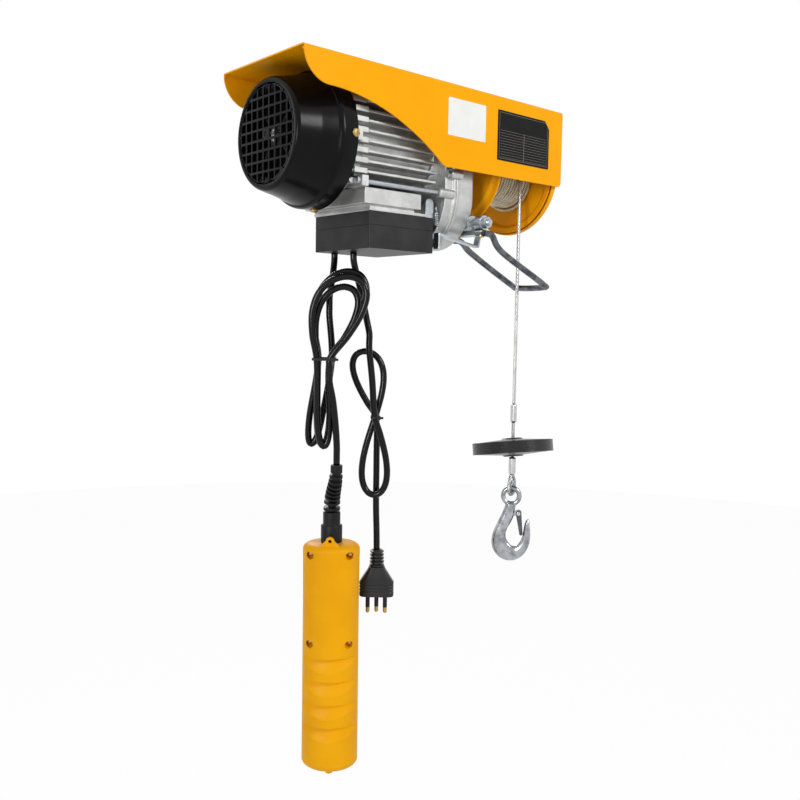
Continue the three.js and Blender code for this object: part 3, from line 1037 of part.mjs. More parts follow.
function makeHandset() {
  const { wall, halfWidth, halfDepth, length, cavity } = handset;
  const hollow = handsetBody(wall, length - cavity);
  const outer = handsetBody(0, 0);
  const halfGap = handset.splitGap / 2;
  const far = halfWidth + halfWidth;
  const back = block(-far, far, -far, -halfGap, -length - far, far);
  const front = block(-far, far, halfGap, far, -length - far, far);
  const grips = [];
  for (let i = 0; i < handset.grips; i += 1) {
    const z = -handset.gripTop - i * handset.gripPitch;
    const wedge = new THREE.Shape();
    wedge.moveTo(-halfDepth - overrun, z);
    wedge.lineTo(-halfDepth + handset.gripDepth, z);
    wedge.lineTo(-halfDepth - overrun, z - handset.gripHeight);
    grips.push(extrudedX(wedge, -halfWidth, halfWidth));
  }
  const recesses = [];
  const bosses = [];
  for (const side of [-1, 1]) {
    for (const down of [handset.upperRecess, handset.lowerRecess]) {
      const x = side * handset.recessHalfSpan;
      bosses.push(rodY(handset.bossRadius, -halfDepth, -halfGap, x, -down, facets.small));
      recesses.push(rodY(handset.recessRadius, -halfDepth - overrun, handset.recessDepth - halfDepth, x, -down, facets.small));
    }
  }
  const tab = new THREE.Shape();
  tab.moveTo(-handset.tabHalfBase, 0);
  tab.lineTo(handset.tabHalfBase, 0);
  tab.lineTo(handset.tabRadius, handset.tabHeight);
  tab.absarc(0, handset.tabHeight, handset.tabRadius, 0, Math.PI);
  tab.holes.push(new THREE.Path().absarc(0, handset.tabHeight, handset.tabHole, 0, TURN));
  const tabY = handset.tabInset - halfDepth;
  const bossSolid = toSolid(joined(bosses)).intersect(toSolid(outer));
  const backShell = toSolid(outer).subtract(toSolid(hollow)).add(bossSolid).intersect(toSolid(back));
  const tabBody = extrudedY(tab, tabY, tabY + handset.tabThickness, 6).translate(0, 0, -overrun);
  const nub = rodZ(handset.nubRadius, -length - handset.nub, overrun - length, 0, -handset.nubRadius - overrun, facets.small);
  add(handsetGroup, 'handset_back_shell', joined([toGeometry(backShell), tabBody, nub], [...grips, ...recesses]), yellowPlastic);
  const bores = [
    rodY(button.bore, 0, far, 0, -button.upDepth),
    rodY(button.bore, 0, far, 0, -button.downDepth),
    rodY(stopButton.bore, 0, far, 0, -stopButton.depth),
  ];
  const frontShell = toSolid(outer).subtract(toSolid(hollow)).intersect(toSolid(front));
  add(handsetGroup, 'handset_front_shell', joined([toGeometry(frontShell)], bores), yellowPlastic);
}

function makeButtons() {
  const face = handset.halfDepth;
  const innerFace = face - handset.wall - button.recess;
  const looks = { up_button: [button.upDepth, greenPlastic], down_button: [button.downDepth, greyPlastic] };
  for (const [name, [down, look]] of Object.entries(looks)) {
    add(handsetGroup, name, turned([[innerFace - button.collar, 0], [innerFace - button.collar, button.collarRadius],
      [innerFace, button.collarRadius], [innerFace, button.radius], [face + button.proud, button.radius], [face + button.proud, 0]],
    facets.medium).translate(0, 0, -down), look);
  }
  const capStart = face + stopButton.gap;
  add(handsetGroup, 'emergency_stop', turned([[innerFace - button.collar, 0], [innerFace - button.collar, button.collarRadius],
    [innerFace, button.collarRadius], [innerFace, stopButton.stemRadius], [capStart, stopButton.stemRadius],
    [capStart, stopButton.capRadius], [capStart + stopButton.cap, stopButton.capRadius], [capStart + stopButton.cap, 0]],
  facets.medium).translate(0, 0, -stopButton.depth), redPlastic);
}

// Moulded plug with its ribbed relief and three round pins
function makePlug() {
  const { top, bodyTop, shoulder, bottom, halfWidth, neckHalf, halfDepth, chamfer, ribs } = plug;
  const profile = [[-top, 0], [-top, plug.coreRadius]];
  const pitch = (bodyTop - top) / ribs;
  for (let rib = 0; rib < ribs; rib += 1) {
    const from = -top - pitch * rib;
    profile.push([from - pitch / 3, plug.coreRadius], [from - pitch / 3, plug.ribRadius], [from - pitch * 2 / 3, plug.ribRadius],
      [from - pitch * 2 / 3, plug.coreRadius]);
  }
  profile.push([-bodyTop - overrun, plug.coreRadius], [-bodyTop - overrun, 0]);
  const body = new THREE.Shape();
  body.moveTo(-neckHalf, -bodyTop);
  body.lineTo(-halfWidth, -shoulder);
  body.lineTo(-halfWidth, chamfer - bottom);
  body.lineTo(chamfer - halfWidth, -bottom);
  body.lineTo(halfWidth - chamfer, -bottom);
  body.lineTo(halfWidth, chamfer - bottom);
  body.lineTo(halfWidth, -shoulder);
  body.lineTo(neckHalf, -bodyTop);
  const pins = [-plug.pinSpan / 2, 0, plug.pinSpan / 2].map((x) => (
    rodZ(plug.pinRadius, -bottom - plug.pinLength, overrun - bottom, x, x === 0 ? plug.pinOffset : 0, 8)));
  const shape = joined([turnedZ(profile, 12), extrudedY(body, -halfDepth, halfDepth), ...pins]);
  add(mainsGroup, 'plug', shape.translate(plug.across, -plug.towards, 0), rubber);
}

makeCanopy();
makeEndPlate();
makeDrum();
makeRope();
makeGearbox();
makeGears();
makeRotor();
makeStator();
makeMotor();
makeEndBell();
makeBearing();
makeBrake();
makeFanCover();
makeTerminalBox();
makeBracket();
makeLever();
makeBail();
makeStrip();
makeSpring();
makeRopeEnd();
makeHook();
const pendantLoops = pendantHankPoints();
const mainsLoops = mainsHankPoints();
const pendantLength = addCord(pendantGroup, 'pendant_cord_upper', pendantUpperRoute) + chainLength(pendantLoops)
  + addCord(pendantGroup, 'pendant_cord_lower', pendantLowerRoute);
const mainsLength = addCord(mainsGroup, 'mains_cord_upper', mainsUpperRoute) + chainLength(mainsLoops)
  + addCord(mainsGroup, 'mains_cord_tail', mainsTailRoute);
addForm(pendantGroup, 'pendant_hank', pendantLoops, cord.radius * 2, 6, rubber);
addForm(mainsGroup, 'mains_hank', mainsLoops, cord.radius * 2, 6, rubber);
addTie(pendantGroup, 'pendant_tie', pendantLoops, pendantHank.waist);
addTie(mainsGroup, 'mains_tie', mainsLoops, mainsHank.waist);
makeRelief();
makeHandset();
makeButtons();
makePlug();

for (const text of forms) console.log(text);
console.log(`pendant cord ${pendantLength.toFixed(0)} mm, mains cord ${mainsLength.toFixed(0)} mm`);

export default hoist;
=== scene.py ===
"""Electric wire rope hoist with a pendant control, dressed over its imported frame.

Sizes are in millimetres in the dataclasses and become metres where a mesh is made. The origin is the
centre of the roof's top face, +X points at the drum end, -Y at the front and +Z up. Each sub-assembly is
a class that works out its surfaces with numpy, gives them a finish and lets them ride on a body.
"""

import json
import logging
import math
from dataclasses import dataclass, field
from enum import Enum
from typing import Any, Optional, Sequence, Union

import bmesh
import bpy
import numpy as np
from mathutils import Matrix, Vector

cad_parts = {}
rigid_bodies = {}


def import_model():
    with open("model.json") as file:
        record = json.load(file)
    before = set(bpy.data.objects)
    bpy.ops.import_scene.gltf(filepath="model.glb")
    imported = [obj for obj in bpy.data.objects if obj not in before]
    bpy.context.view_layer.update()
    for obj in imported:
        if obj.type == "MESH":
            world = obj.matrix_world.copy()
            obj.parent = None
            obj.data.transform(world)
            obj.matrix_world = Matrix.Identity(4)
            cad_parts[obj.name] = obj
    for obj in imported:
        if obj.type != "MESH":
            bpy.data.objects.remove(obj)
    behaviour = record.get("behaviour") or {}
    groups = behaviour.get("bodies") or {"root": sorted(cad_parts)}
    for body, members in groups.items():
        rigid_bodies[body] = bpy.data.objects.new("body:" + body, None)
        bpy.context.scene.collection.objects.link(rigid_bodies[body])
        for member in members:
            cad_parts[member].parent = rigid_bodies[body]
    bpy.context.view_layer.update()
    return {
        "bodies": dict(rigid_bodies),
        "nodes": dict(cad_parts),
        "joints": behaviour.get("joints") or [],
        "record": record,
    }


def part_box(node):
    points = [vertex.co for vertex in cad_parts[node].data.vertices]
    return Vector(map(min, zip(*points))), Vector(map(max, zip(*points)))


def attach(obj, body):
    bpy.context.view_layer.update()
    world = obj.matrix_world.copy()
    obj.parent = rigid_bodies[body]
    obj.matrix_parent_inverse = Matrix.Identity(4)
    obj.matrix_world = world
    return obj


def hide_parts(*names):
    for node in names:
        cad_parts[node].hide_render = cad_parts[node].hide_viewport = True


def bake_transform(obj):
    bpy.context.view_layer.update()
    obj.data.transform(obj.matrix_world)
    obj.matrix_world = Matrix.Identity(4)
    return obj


LOG = logging.getLogger("hoist")
MM = 0.001
TURN = 2 * math.pi
AXIS_Z = -67.5
SHEET = 1.5
FALL_X = 145.3
FALL_Y = -37.75


def linear(colour: Sequence[float]) -> tuple[float, float, float, float]:
    """Turns a colour of 0 to 255 as seen on a screen into linear light.

    Args:
        colour: Red, green and blue.

    Returns:
        Red, green, blue and an opacity of one.
    """
    seen = np.asarray(colour, float) / 255
    light = np.where(seen <= 0.04045, seen / 12.92, ((seen + 0.055) / 1.055) ** 2.4)
    return (float(light[0]), float(light[1]), float(light[2]), 1.0)


class Value:
    """A number in a shader tree that takes part in Python sums."""

    def __init__(self, recipe: "Recipe", socket: bpy.types.NodeSocket) -> None:
        """Keeps the tree and the socket that gives the number."""
        self.recipe = recipe
        self.socket = socket

    def _sum(self, operation: str, first: Any, second: Any) -> "Value":
        """Adds a Math node for one operation on two numbers."""
        return self.recipe.value("ShaderNodeMath", {"operation": operation}, {0: first, 1: second})

    def __add__(self, other: Any) -> "Value":
        """This number plus another."""
        return self._sum("ADD", self, other)

    def __radd__(self, other: Any) -> "Value":
        """Another number plus this one."""
        return self._sum("ADD", other, self)

    def __sub__(self, other: Any) -> "Value":
        """This number less another."""
        return self._sum("SUBTRACT", self, other)

    def __rsub__(self, other: Any) -> "Value":
        """Another number less this one."""
        return self._sum("SUBTRACT", other, self)

    def __mul__(self, other: Any) -> "Value":
        """This number times another."""
        return self._sum("MULTIPLY", self, other)

    def __rmul__(self, other: Any) -> "Value":
        """Another number times this one."""
        return self._sum("MULTIPLY", other, self)

    def __pow__(self, other: Any) -> "Value":
        """This number to a power."""
        return self._sum("POWER", self, other)

    def sine(self) -> "Value":
        """The sine of this number."""
        return self.recipe.value("ShaderNodeMath", {"operation": "SINE"}, {0: self})

    def size(self) -> "Value":
        """This number without its sign."""
        return self.recipe.value("ShaderNodeMath", {"operation": "ABSOLUTE"}, {0: self})

    def below(self, limit: Any) -> "Value":
        """One where this number is under a limit, else nought."""
        return self._sum("LESS_THAN", self, limit)

    def ramp(self, low: float, high: float) -> "Value":
        """Nought below low, one above high, and a smooth step between them."""
        return self.recipe.value("ShaderNodeMapRange", {"interpolation_type": "SMOOTHSTEP"},
                                 {"Value": self, "From Min": low, "From Max": high})


class Recipe:
    """The node tree of a material or of the world."""

    def __init__(self, owner: Any, output: str = "ShaderNodeOutputMaterial") -> None:
        """Empties the owner's tree and starts it again with its output."""
        self.owner = owner
        owner.use_nodes = True
        self.tree = owner.node_tree
        self.tree.nodes.clear()
        self.output = self.node(output, {}, {})

    def node(self, kind: str, settings: dict[str, Any], inputs: dict[Any, Any]) -> bpy.types.Node:
        """Makes any node, with its settings first and then its sockets.

        Args:
            kind: The node's type.
            settings: Its own settings, such as an operation.
            inputs: A number, colour, Value or socket for each input.

        Returns:
            The node.
        """
        made = self.tree.nodes.new(kind)
        for name, setting in settings.items():
            setattr(made, name, setting)
        for key, given in inputs.items():
            source = given.socket if isinstance(given, Value) else given
            if isinstance(source, bpy.types.NodeSocket):
                self.tree.links.new(source, made.inputs[key])
            else:
                made.inputs[key].default_value = source
        return made

    def value(self, kind: str, settings: dict[str, Any], inputs: dict[Any, Any], output: int = 0) -> Value:
        """A node's output as a number for sums."""
        return Value(self, self.node(kind, settings, inputs).outputs[output])

    def coordinates(self, name: str) -> Any:
        """The point's coordinates by the name of their set, such as Object or UV."""
        return self.node("ShaderNodeTexCoord", {}, {}).outputs[name]

    def place(self, stretch: Sequence[float] = (1, 1, 1), centre: Sequence[float] = (0, 0, 0)) -> Any:
        """The point on the object, moved to a centre in metres and stretched."""
        shift = [-c * s for c, s in zip(centre, stretch)]
        return self.node("ShaderNodeMapping", {}, {"Vector": self.coordinates("Object"), "Location": shift,
                                                   "Scale": list(stretch)}).outputs[0]

    def split(self, vector: Any) -> list[Value]:
        """The three numbers of a vector."""
        made = self.node("ShaderNodeSeparateXYZ", {}, {0: vector})
        return [Value(self, made.outputs[i]) for i in range(3)]

    def noise(self, grain: float, detail: float = 2.0, stretch: Sequence[float] = (1, 1, 1)) -> Value:
        """Soft noise with lumps of a size in millimetres."""
        return self.value("ShaderNodeTexNoise", {}, {"Vector": self.place(stretch), "Scale": 1 / (grain * MM),
                                                     "Detail": detail, "Roughness": 0.55})

    def mix(self, share: Any, first: Any, second: Any) -> Any:
        """A colour between two others."""
        made = self.node("ShaderNodeMix", {"data_type": "RGBA"}, {0: share, 6: first, 7: second})
        return made.outputs[2]

    def bump(self, height: Any, depth: float, normal: Any = None) -> Any:
        """A normal that follows a height; depth is in millimetres."""
        inputs = {"Height": height, "Distance": depth * MM, "Strength": 1.0}
        if normal is not None:
            inputs["Normal"] = normal
        return self.node("ShaderNodeBump", {}, inputs).outputs[0]

    def close(self, kind: str, inputs: dict[Any, Any]) -> Any:
        """Closes the tree with its last shader and gives the owner."""
        self.tree.links.new(self.node(kind, {}, inputs).outputs[0], self.output.inputs["Surface"])
        return self.owner


class Kind(Enum):
    """How a finish is laid on."""

    COATED = "coated"
    CAST = "cast"
    BRUSHED = "brushed"
    STRANDS_ALONG_UV = "strands along the piece"
    STRANDS_UPRIGHT = "strands of the upright fall"
    LAMINATED = "laminated"
    RULED = "ruled plate"


@dataclass(frozen=True)
class Finish:
    """One finish: two close colours in patches, a roughness and a fine relief."""

    name: str
    slot: str
    kind: Kind
    colour: tuple[float, float, float]
    patches: tuple[float, float, float]
    roughness: float
    metallic: float = 0.0
    coat: float = 0.0
    specular: float = 0.5
    patch: float = 30.0
    grain: float = 1.0
    relief: float = 0.02
    unevenness: float = 0.12
    strands: int = 6
    lay: float = 26.0
    centre: tuple[float, float] = (FALL_X * MM, FALL_Y * MM)

    def strand_wave(self, recipe: Recipe) -> Value:
        """Height over twisted strands: the sine's size of an angle that turns with the way along."""
        if self.kind is Kind.STRANDS_ALONG_UV:
            around, along, _ = recipe.split(recipe.coordinates("UV"))
            angle = around * (math.pi * self.strands)
        else:
            x, y, along = recipe.split(recipe.place(centre=(*self.centre, 0)))
            angle = recipe.value("ShaderNodeMath", {"operation": "ARCTAN2"},
                                 {0: y, 1: x}) * (self.strands / 2)
        return (angle + along * (math.pi * self.strands / (self.lay * MM))).sine().size()

    def material(self) -> bpy.types.Material:
        """Makes the material, or gives the one that is already made.

        Returns:
            The material with its procedural nodes.
        """
        known = bpy.data.materials.get(self.name)
        if known is not None:
            return known
        recipe = Recipe(bpy.data.materials.new(self.name))
        patches = recipe.noise(self.patch, 3.0)
        stretch = (0.06, 1, 1) if self.kind is Kind.BRUSHED else (1, 1, 1)
        grains = recipe.noise(self.grain, 3.0, stretch)
        tone = patches.ramp(0.3, 0.7)
        colour = recipe.mix(tone, linear(self.colour), linear(self.patches))
        rough = grains * self.unevenness + (self.roughness - self.unevenness / 2)
        height: Any = grains
        if self.kind is Kind.CAST:
            pits = recipe.value("ShaderNodeTexVoronoi", {},
                                {"Vector": recipe.place(), "Scale": 1 / (self.grain * 2.4 * MM)})
            height = grains + pits.ramp(0.05, 0.35) * 0.5
            # Painted shade: the pits' colour is darkened to 0.72 of the patches' colour, standing in for the
            # shade in the hollows.
            pit_shade = tuple(0.72 * c for c in self.patches)
            colour = recipe.mix(1 - pits.ramp(0.04, 0.22), colour, linear(pit_shade))
        elif self.kind in (Kind.STRANDS_ALONG_UV, Kind.STRANDS_UPRIGHT):
            wave = self.strand_wave(recipe)
            height = wave + grains * 0.15
            # Painted shade: the valleys between the strands are darkened to 0.34 of the colour.
            groove = tuple(0.34 * c for c in self.colour)
            colour = recipe.mix(wave.ramp(0.05, 0.75), linear(groove), colour)
        elif self.kind is Kind.LAMINATED:
            x, _, _ = recipe.split(recipe.place())
            sheets = (x * (TURN / (1.4 * MM))).sine()
            height = sheets + grains
            colour = recipe.mix(sheets.ramp(0.2, 0.9), colour, linear(self.patches))
        elif self.kind is Kind.RULED:
            x, _, z = recipe.split(recipe.place(centre=(0.1135, 0, -0.04075)))
            rows = ((z + 0.0085).size() * (TURN / 0.0056)).sine().size().below(0.16)
            inside = x.size().below(0.038) * (z + 0.0085).size().below(0.0146)
            middle = x.size().below(0.0003) * inside
            frame = (1 - x.size().below(0.0397)) + (1 - z.size().below(0.0238))
            rule = rows * inside + middle + frame * x.size().below(0.0401) * z.size().below(0.0242)
            colour = recipe.mix(rule, colour, linear((120, 118, 112)))
        return recipe.close("ShaderNodeBsdfPrincipled", {
            "Base Color": colour, "Roughness": rough, "Metallic": self.metallic,
            "Specular IOR Level": self.specular,
            "Coat Weight": self.coat, "Coat Roughness": 0.12, "Normal": recipe.bump(height, self.relief)})


class Look(Enum):
    """The finishes of this hoist."""

    PAINT = Finish("powder_coat_yellow", "yellow_paint", Kind.COATED, (250, 171, 2), (247, 167, 2), 0.3,
                   specular=0.08, patch=60, grain=1.1, relief=0.012, unevenness=0.08)
    DRUM_PAINT = Finish("drum_coat_yellow", "yellow_paint", Kind.COATED, (252, 172, 8), (240, 156, 8), 0.36,
                        specular=0.1, patch=25, grain=1.3, relief=0.02)
    CAST = Finish("sand_cast_aluminium", "cast_aluminium", Kind.CAST, (200, 201, 199), (180, 181, 180), 0.4,
                  metallic=0.75, patch=14, grain=0.7, relief=0.06, unevenness=0.2)
    DARK_STEEL = Finish("brushed_dark_steel", "dark_steel", Kind.BRUSHED, (92, 94, 98), (74, 76, 80), 0.42,
                        metallic=1.0, patch=12, grain=0.8, relief=0.01)
    CORE_STEEL = Finish("core_sheets", "dark_steel", Kind.LAMINATED, (96, 98, 100), (70, 72, 75), 0.5,
                        metallic=0.9, patch=12, grain=0.8, relief=0.05)
    BRIGHT = Finish("brushed_bright_steel", "bright_steel", Kind.BRUSHED, (206, 207, 208), (188, 190, 192),
                    0.26,
                    metallic=1.0, patch=9, grain=0.8, relief=0.008, unevenness=0.14)
    FORGED = Finish("plated_forging", "bright_steel", Kind.COATED, (184, 187, 190), (132, 135, 140), 0.18,
                    metallic=1.0, patch=9, grain=3.0, relief=0.1, unevenness=0.14)
    ZINC = Finish("zinc_plate", "zinc", Kind.BRUSHED, (190, 196, 200), (168, 176, 182), 0.3,
                  metallic=1.0, patch=9, grain=0.9, relief=0.015, unevenness=0.18)
    ROD_ZINC = Finish("dull_zinc_rod", "zinc", Kind.BRUSHED, (118, 121, 125), (70, 73, 78), 0.2,
                      metallic=1.0, patch=10, grain=0.9, relief=0.02, unevenness=0.18)
    BRASS = Finish("yellow_zinc", "brass", Kind.BRUSHED, (196, 170, 112), (160, 132, 78), 0.3,
                   metallic=1.0, patch=3, grain=0.6, relief=0.01)
    COPPER = Finish("enamelled_wire", "copper", Kind.LAMINATED, (196, 110, 62), (150, 76, 40), 0.35,
                    metallic=0.9, patch=6, grain=0.9, relief=0.08)
    BLACK = Finish("moulded_black", "black_plastic", Kind.COATED, (24, 24, 26), (30, 30, 32), 0.36,
                   specular=0.25, patch=25, grain=0.8, relief=0.02, unevenness=0.1)
    COVER_BLACK = Finish("satin_black_cover", "black_plastic", Kind.COATED, (6, 6, 7), (10, 10, 11), 0.22,
                         specular=0.12, patch=30, grain=1.4, relief=0.02, unevenness=0.1)
    BOX_BLACK = Finish("textured_black_box", "black_plastic", Kind.COATED, (38, 38, 39), (48, 48, 49), 0.44,
                       specular=0.18, patch=22, grain=0.7, relief=0.05, unevenness=0.16)
    GREY = Finish("moulded_grey", "grey_plastic", Kind.COATED, (62, 62, 64), (54, 54, 57), 0.5,
                  patch=12, grain=0.7, relief=0.03)
    RUBBER = Finish("black_rubber", "rubber", Kind.COATED, (16, 16, 17), (24, 24, 25), 0.4,
                    specular=0.2, patch=16, grain=0.9, relief=0.05, unevenness=0.2)
    PALE_RUBBER = Finish("matt_grey_rubber", "rubber", Kind.COATED, (38, 38, 39), (30, 30, 31), 0.3,
                         specular=0.34, patch=16, grain=0.9, relief=0.05, unevenness=0.2)
    CORD = Finish("cord_sheath", "rubber", Kind.COATED, (6, 6, 7), (10, 10, 11), 0.13,
                  specular=0.22, patch=18, grain=2.6, relief=0.06, unevenness=0.14)
    HANDSET = Finish("moulded_yellow", "yellow_plastic", Kind.COATED, (238, 169, 3), (232, 161, 2), 0.42,
                     specular=0.12, patch=40, grain=0.6, relief=0.025, unevenness=0.12)
    RED = Finish("moulded_red", "red_plastic", Kind.COATED, (196, 26, 24), (182, 20, 20), 0.36,
                 coat=0.2, patch=8, grain=0.7, relief=0.01)
    GREEN = Finish("moulded_green", "green_plastic", Kind.COATED, (44, 140, 62), (36, 124, 54), 0.4,
                   patch=8, grain=0.7, relief=0.01)
    ROPE = Finish("rope_strands", "bright_steel", Kind.STRANDS_ALONG_UV, (216, 216, 213), (182, 182, 178),
                  0.32,
                  metallic=0.85, patch=6, grain=0.5, relief=0.3, unevenness=0.16)
    WOUND_ROPE = Finish("greased_rope_strands", "bright_steel", Kind.STRANDS_ALONG_UV, (240, 235, 212),
                        (200, 190, 156), 0.34,
                        metallic=0.5, patch=9, grain=0.6, relief=0.3, unevenness=0.16)
    FALL = Finish("rope_strands_upright", "bright_steel", Kind.STRANDS_UPRIGHT, (226, 226, 224),
                  (202, 202, 200), 0.3,
                  metallic=0.8, patch=6, grain=0.5, relief=0.3, unevenness=0.16)
    PAPER = Finish("blank_label", "yellow_paint", Kind.COATED, (238, 238, 234), (232, 232, 228), 0.55,
                   patch=20, grain=0.9, relief=0.01)
    PLATE = Finish("blank_plate", "black_plastic", Kind.RULED, (14, 14, 15), (19, 19, 20), 0.4,
                   specular=0.1, patch=20, grain=0.9, relief=0.008, unevenness=0.1)


@dataclass
class Shell:
    """A surface on its way to a mesh: points in millimetres, faces, and a UV pair for each face corner."""

    points: np.ndarray
    faces: list[np.ndarray]
    uvs: list[np.ndarray]

    def moved(self, turn: np.ndarray, shift: Sequence[float]) -> "Shell":
        """The shell turned by a matrix and then shifted."""
        return Shell(self.points @ np.asarray(turn).T + np.asarray(shift, float), self.faces, self.uvs)


def grid(points: np.ndarray, around: bool = True, closed: bool = False, capped: bool = False,
         scale: Sequence[float] = (1, 1)) -> Shell:
    """A surface of four-sided faces over rows and columns of points.

    Args:
        points: Rows by columns by three.
        around: The last column joins the first.
        closed: The last row joins the first.
        capped: Each end row is closed by one face.
        scale: What a UV of one is worth along the columns and the rows.

    Returns:
        The shell.
    """
    rows, columns = points.shape[:2]
    i, j = np.meshgrid(np.arange(rows if closed else rows - 1), np.arange(columns if around else columns - 1),
                       indexing="ij")
    i, j = i.ravel(), j.ravel()
    corners = [(i, j), (i, j + 1), (i + 1, j + 1), (i + 1, j)]
    faces = np.stack([(a % rows) * columns + b % columns for a, b in corners], axis=1)
    uv = np.stack([np.stack([b / columns * scale[0], a / max(rows - 1, 1) * scale[1]], axis=1) for a,
                   b in corners], axis=1)
    made_faces = [faces]
    made_uvs = [uv.reshape(-1, 2)]
    if capped:
        for row in (0, rows - 1):
            made_faces.append((np.arange(columns) + row * columns)[None, :])
            made_uvs.append(np.zeros((columns, 2)))
    return Shell(points.reshape(-1, 3), made_faces, made_uvs)


def together(*shells: Shell) -> Shell:
    """Several shells as one."""
    starts = np.cumsum([0] + [len(s.points) for s in shells])
    faces = [f + start for s, start in zip(shells, starts) for f in s.faces]
    return Shell(np.concatenate([s.points for s in shells]), faces, [u for s in shells for u in s.uvs])


def eased(outline: np.ndarray, reach: float, steps: int = 4, closed: bool = False) -> np.ndarray:
    """Rounds the corners of a line of points.

    Each corner B becomes the parabola (1-t)^2 A + 2t(1-t) B + t^2 C, where A and C lie a reach before and
    after it, or half way to the next corner if that is nearer.

    Args:
        outline: The corners, one row each.
        reach: How far the rounding goes along each side.
        steps: Number of pieces in each parabola.
        closed: The line runs back to its start.

    Returns:
        The rounded line.
    """
    outline = np.asarray(outline, float)

    def toward(other: np.ndarray) -> np.ndarray:
        """The point a reach from each corner towards its neighbour."""
        way = other - outline
        far = np.maximum(np.linalg.norm(way, axis=1, keepdims=True), 1e-9)
        return outline + way * np.minimum(reach / far, 0.5)

    t = np.linspace(0, 1, steps + 1)[None, :, None]
    start, end = toward(np.roll(outline, 1, axis=0))[:, None], toward(np.roll(outline, -1, axis=0))[:, None]
    curve = (1 - t) ** 2 * start + 2 * t * (1 - t) * outline[:, None] + t ** 2 * end
    if closed:
        return curve.reshape(-1, outline.shape[1])
    return np.concatenate([outline[:1], curve[1:-1].reshape(-1, outline.shape[1]), outline[-1:]])


class Axis(Enum):
    """The axis of a turned or drawn-out shape, with its two cross directions."""

    X = ((1, 0, 0), (0, 1, 0), (0, 0, 1))
    Y = ((0, 1, 0), (0, 0, 1), (1, 0, 0))
    Z = ((0, 0, 1), (1, 0, 0), (0, 1, 0))


def turned(profile: Sequence[Sequence[float]], axis: Axis, centre: Sequence[float] = (0, 0, 0),
           sides: int = 96,
           ease: float = 0.0, steps: int = 3, scallop: Optional[np.ndarray] = None) -> Shell:
    """A profile of (along, radius) pairs turned round an axis: centre + s a + r (cos u + sin v).

    Args:
        profile: Place along the axis and radius.
        axis: The axis it turns round.
        centre: A point on the axis.
        sides: Number of faces round it.
        ease: How far its corners are rounded.
        steps: Pieces in each rounded corner.
        scallop: A factor on the radius for each side.

    Returns:
        The shell; a radius of nought at an end closes it.
    """
    line = eased(np.asarray(profile, float), ease, steps) if ease else np.asarray(profile, float)
    way, first, second = (np.asarray(v, float) for v in axis.value)
    angle = np.linspace(0, TURN, sides, endpoint=False)
    radius = line[:, 1, None] * (1.0 if scallop is None else scallop[None, :])
    ring = np.cos(angle)[None, :, None] * first + np.sin(angle)[None, :, None] * second
    points = np.asarray(centre, float) + line[:, 0, None, None] * way + radius[..., None] * ring
    return grid(points, around=True)


def drawn(outline: np.ndarray, axis: Axis, low: float, high: float,
          centre: Sequence[float] = (0, 0, 0)) -> Shell:
    """A flat outline in an axis's cross directions, drawn out along it from low to high and closed."""
    way, first, second = (np.asarray(v, float) for v in axis.value)
    flat = outline[:, 0, None] * first + outline[:, 1, None] * second
    points = np.asarray(centre, float) + flat[None] + np.array([low, high])[:, None, None] * way
    return grid(points, around=True, capped=True)


def rounded_block(low: Sequence[float], high: Sequence[float], radius: float, axis: Axis = Axis.Z) -> Shell:
    """A block between two corners whose edges along one axis are rounded."""
    low, high = np.asarray(low, float), np.asarray(high, float)
    way, first, second = (np.argmax(v) for v in axis.value)
    a0, a1, b0, b1 = low[first], high[first], low[second], high[second]
    outline = eased(np.array([[a0, b0], [a1, b0], [a1, b1], [a0, b1]]), radius, 5, closed=True)
    return drawn(outline, axis, low[way], high[way])


def spline(knots: np.ndarray, steps: int = 8, alpha: float = 0.5) -> np.ndarray:
    """A smooth line through knots: cubic pieces whose end slopes weigh the chords before and after a knot.

    Args:
        knots: The knots, one row each.
        steps: Points in each piece.
        alpha: Power of a chord's length that gives its share of time; nought is even.

    Returns:
        The points of the line.
    """
    knots = np.asarray(knots, float)
    held = np.vstack([2 * knots[0] - knots[1], knots, 2 * knots[-1] - knots[-2]])
    time = np.maximum(np.linalg.norm(np.diff(held, axis=0), axis=1, keepdims=True), 1e-6) ** alpha
    p0, p1, p2, p3 = held[:-3], held[1:-2], held[2:-1], held[3:]
    t0, t1, t2 = time[:-2], time[1:-1], time[2:]
    slope1 = ((p1 - p0) / t0 - (p2 - p0) / (t0 + t1) + (p2 - p1) / t1) * t1
    slope2 = ((p2 - p1) / t1 - (p3 - p1) / (t1 + t2) + (p3 - p2) / t2) * t1
    t = np.linspace(0, 1, steps, endpoint=False)[None, :, None]
    a, b, c, d = (v[:, None] for v in (p1, p2, slope1, slope2))
    line = (2 * t ** 3 - 3 * t ** 2
            + 1) * a + (t ** 3 - 2 * t ** 2 + t) * c + (3 * t ** 2 - 2 * t ** 3) * b + (t ** 3 - t ** 2) * d
    return np.vstack([line.reshape(-1, knots.shape[1]), knots[-1:]])


def walked(path: np.ndarray) -> np.ndarray:
    """The way from a path's start to each of its points."""
    return np.concatenate([[0], np.cumsum(np.linalg.norm(np.diff(path, axis=0), axis=1))])


def even(path: np.ndarray, spacing: float) -> np.ndarray:
    """The same path with points an even spacing apart."""
    way = walked(path)
    at = np.linspace(0, way[-1], max(int(round(way[-1] / spacing)) + 1, 3))
    return np.stack([np.interp(at, way, path[:, k]) for k in range(path.shape[1])], axis=1)


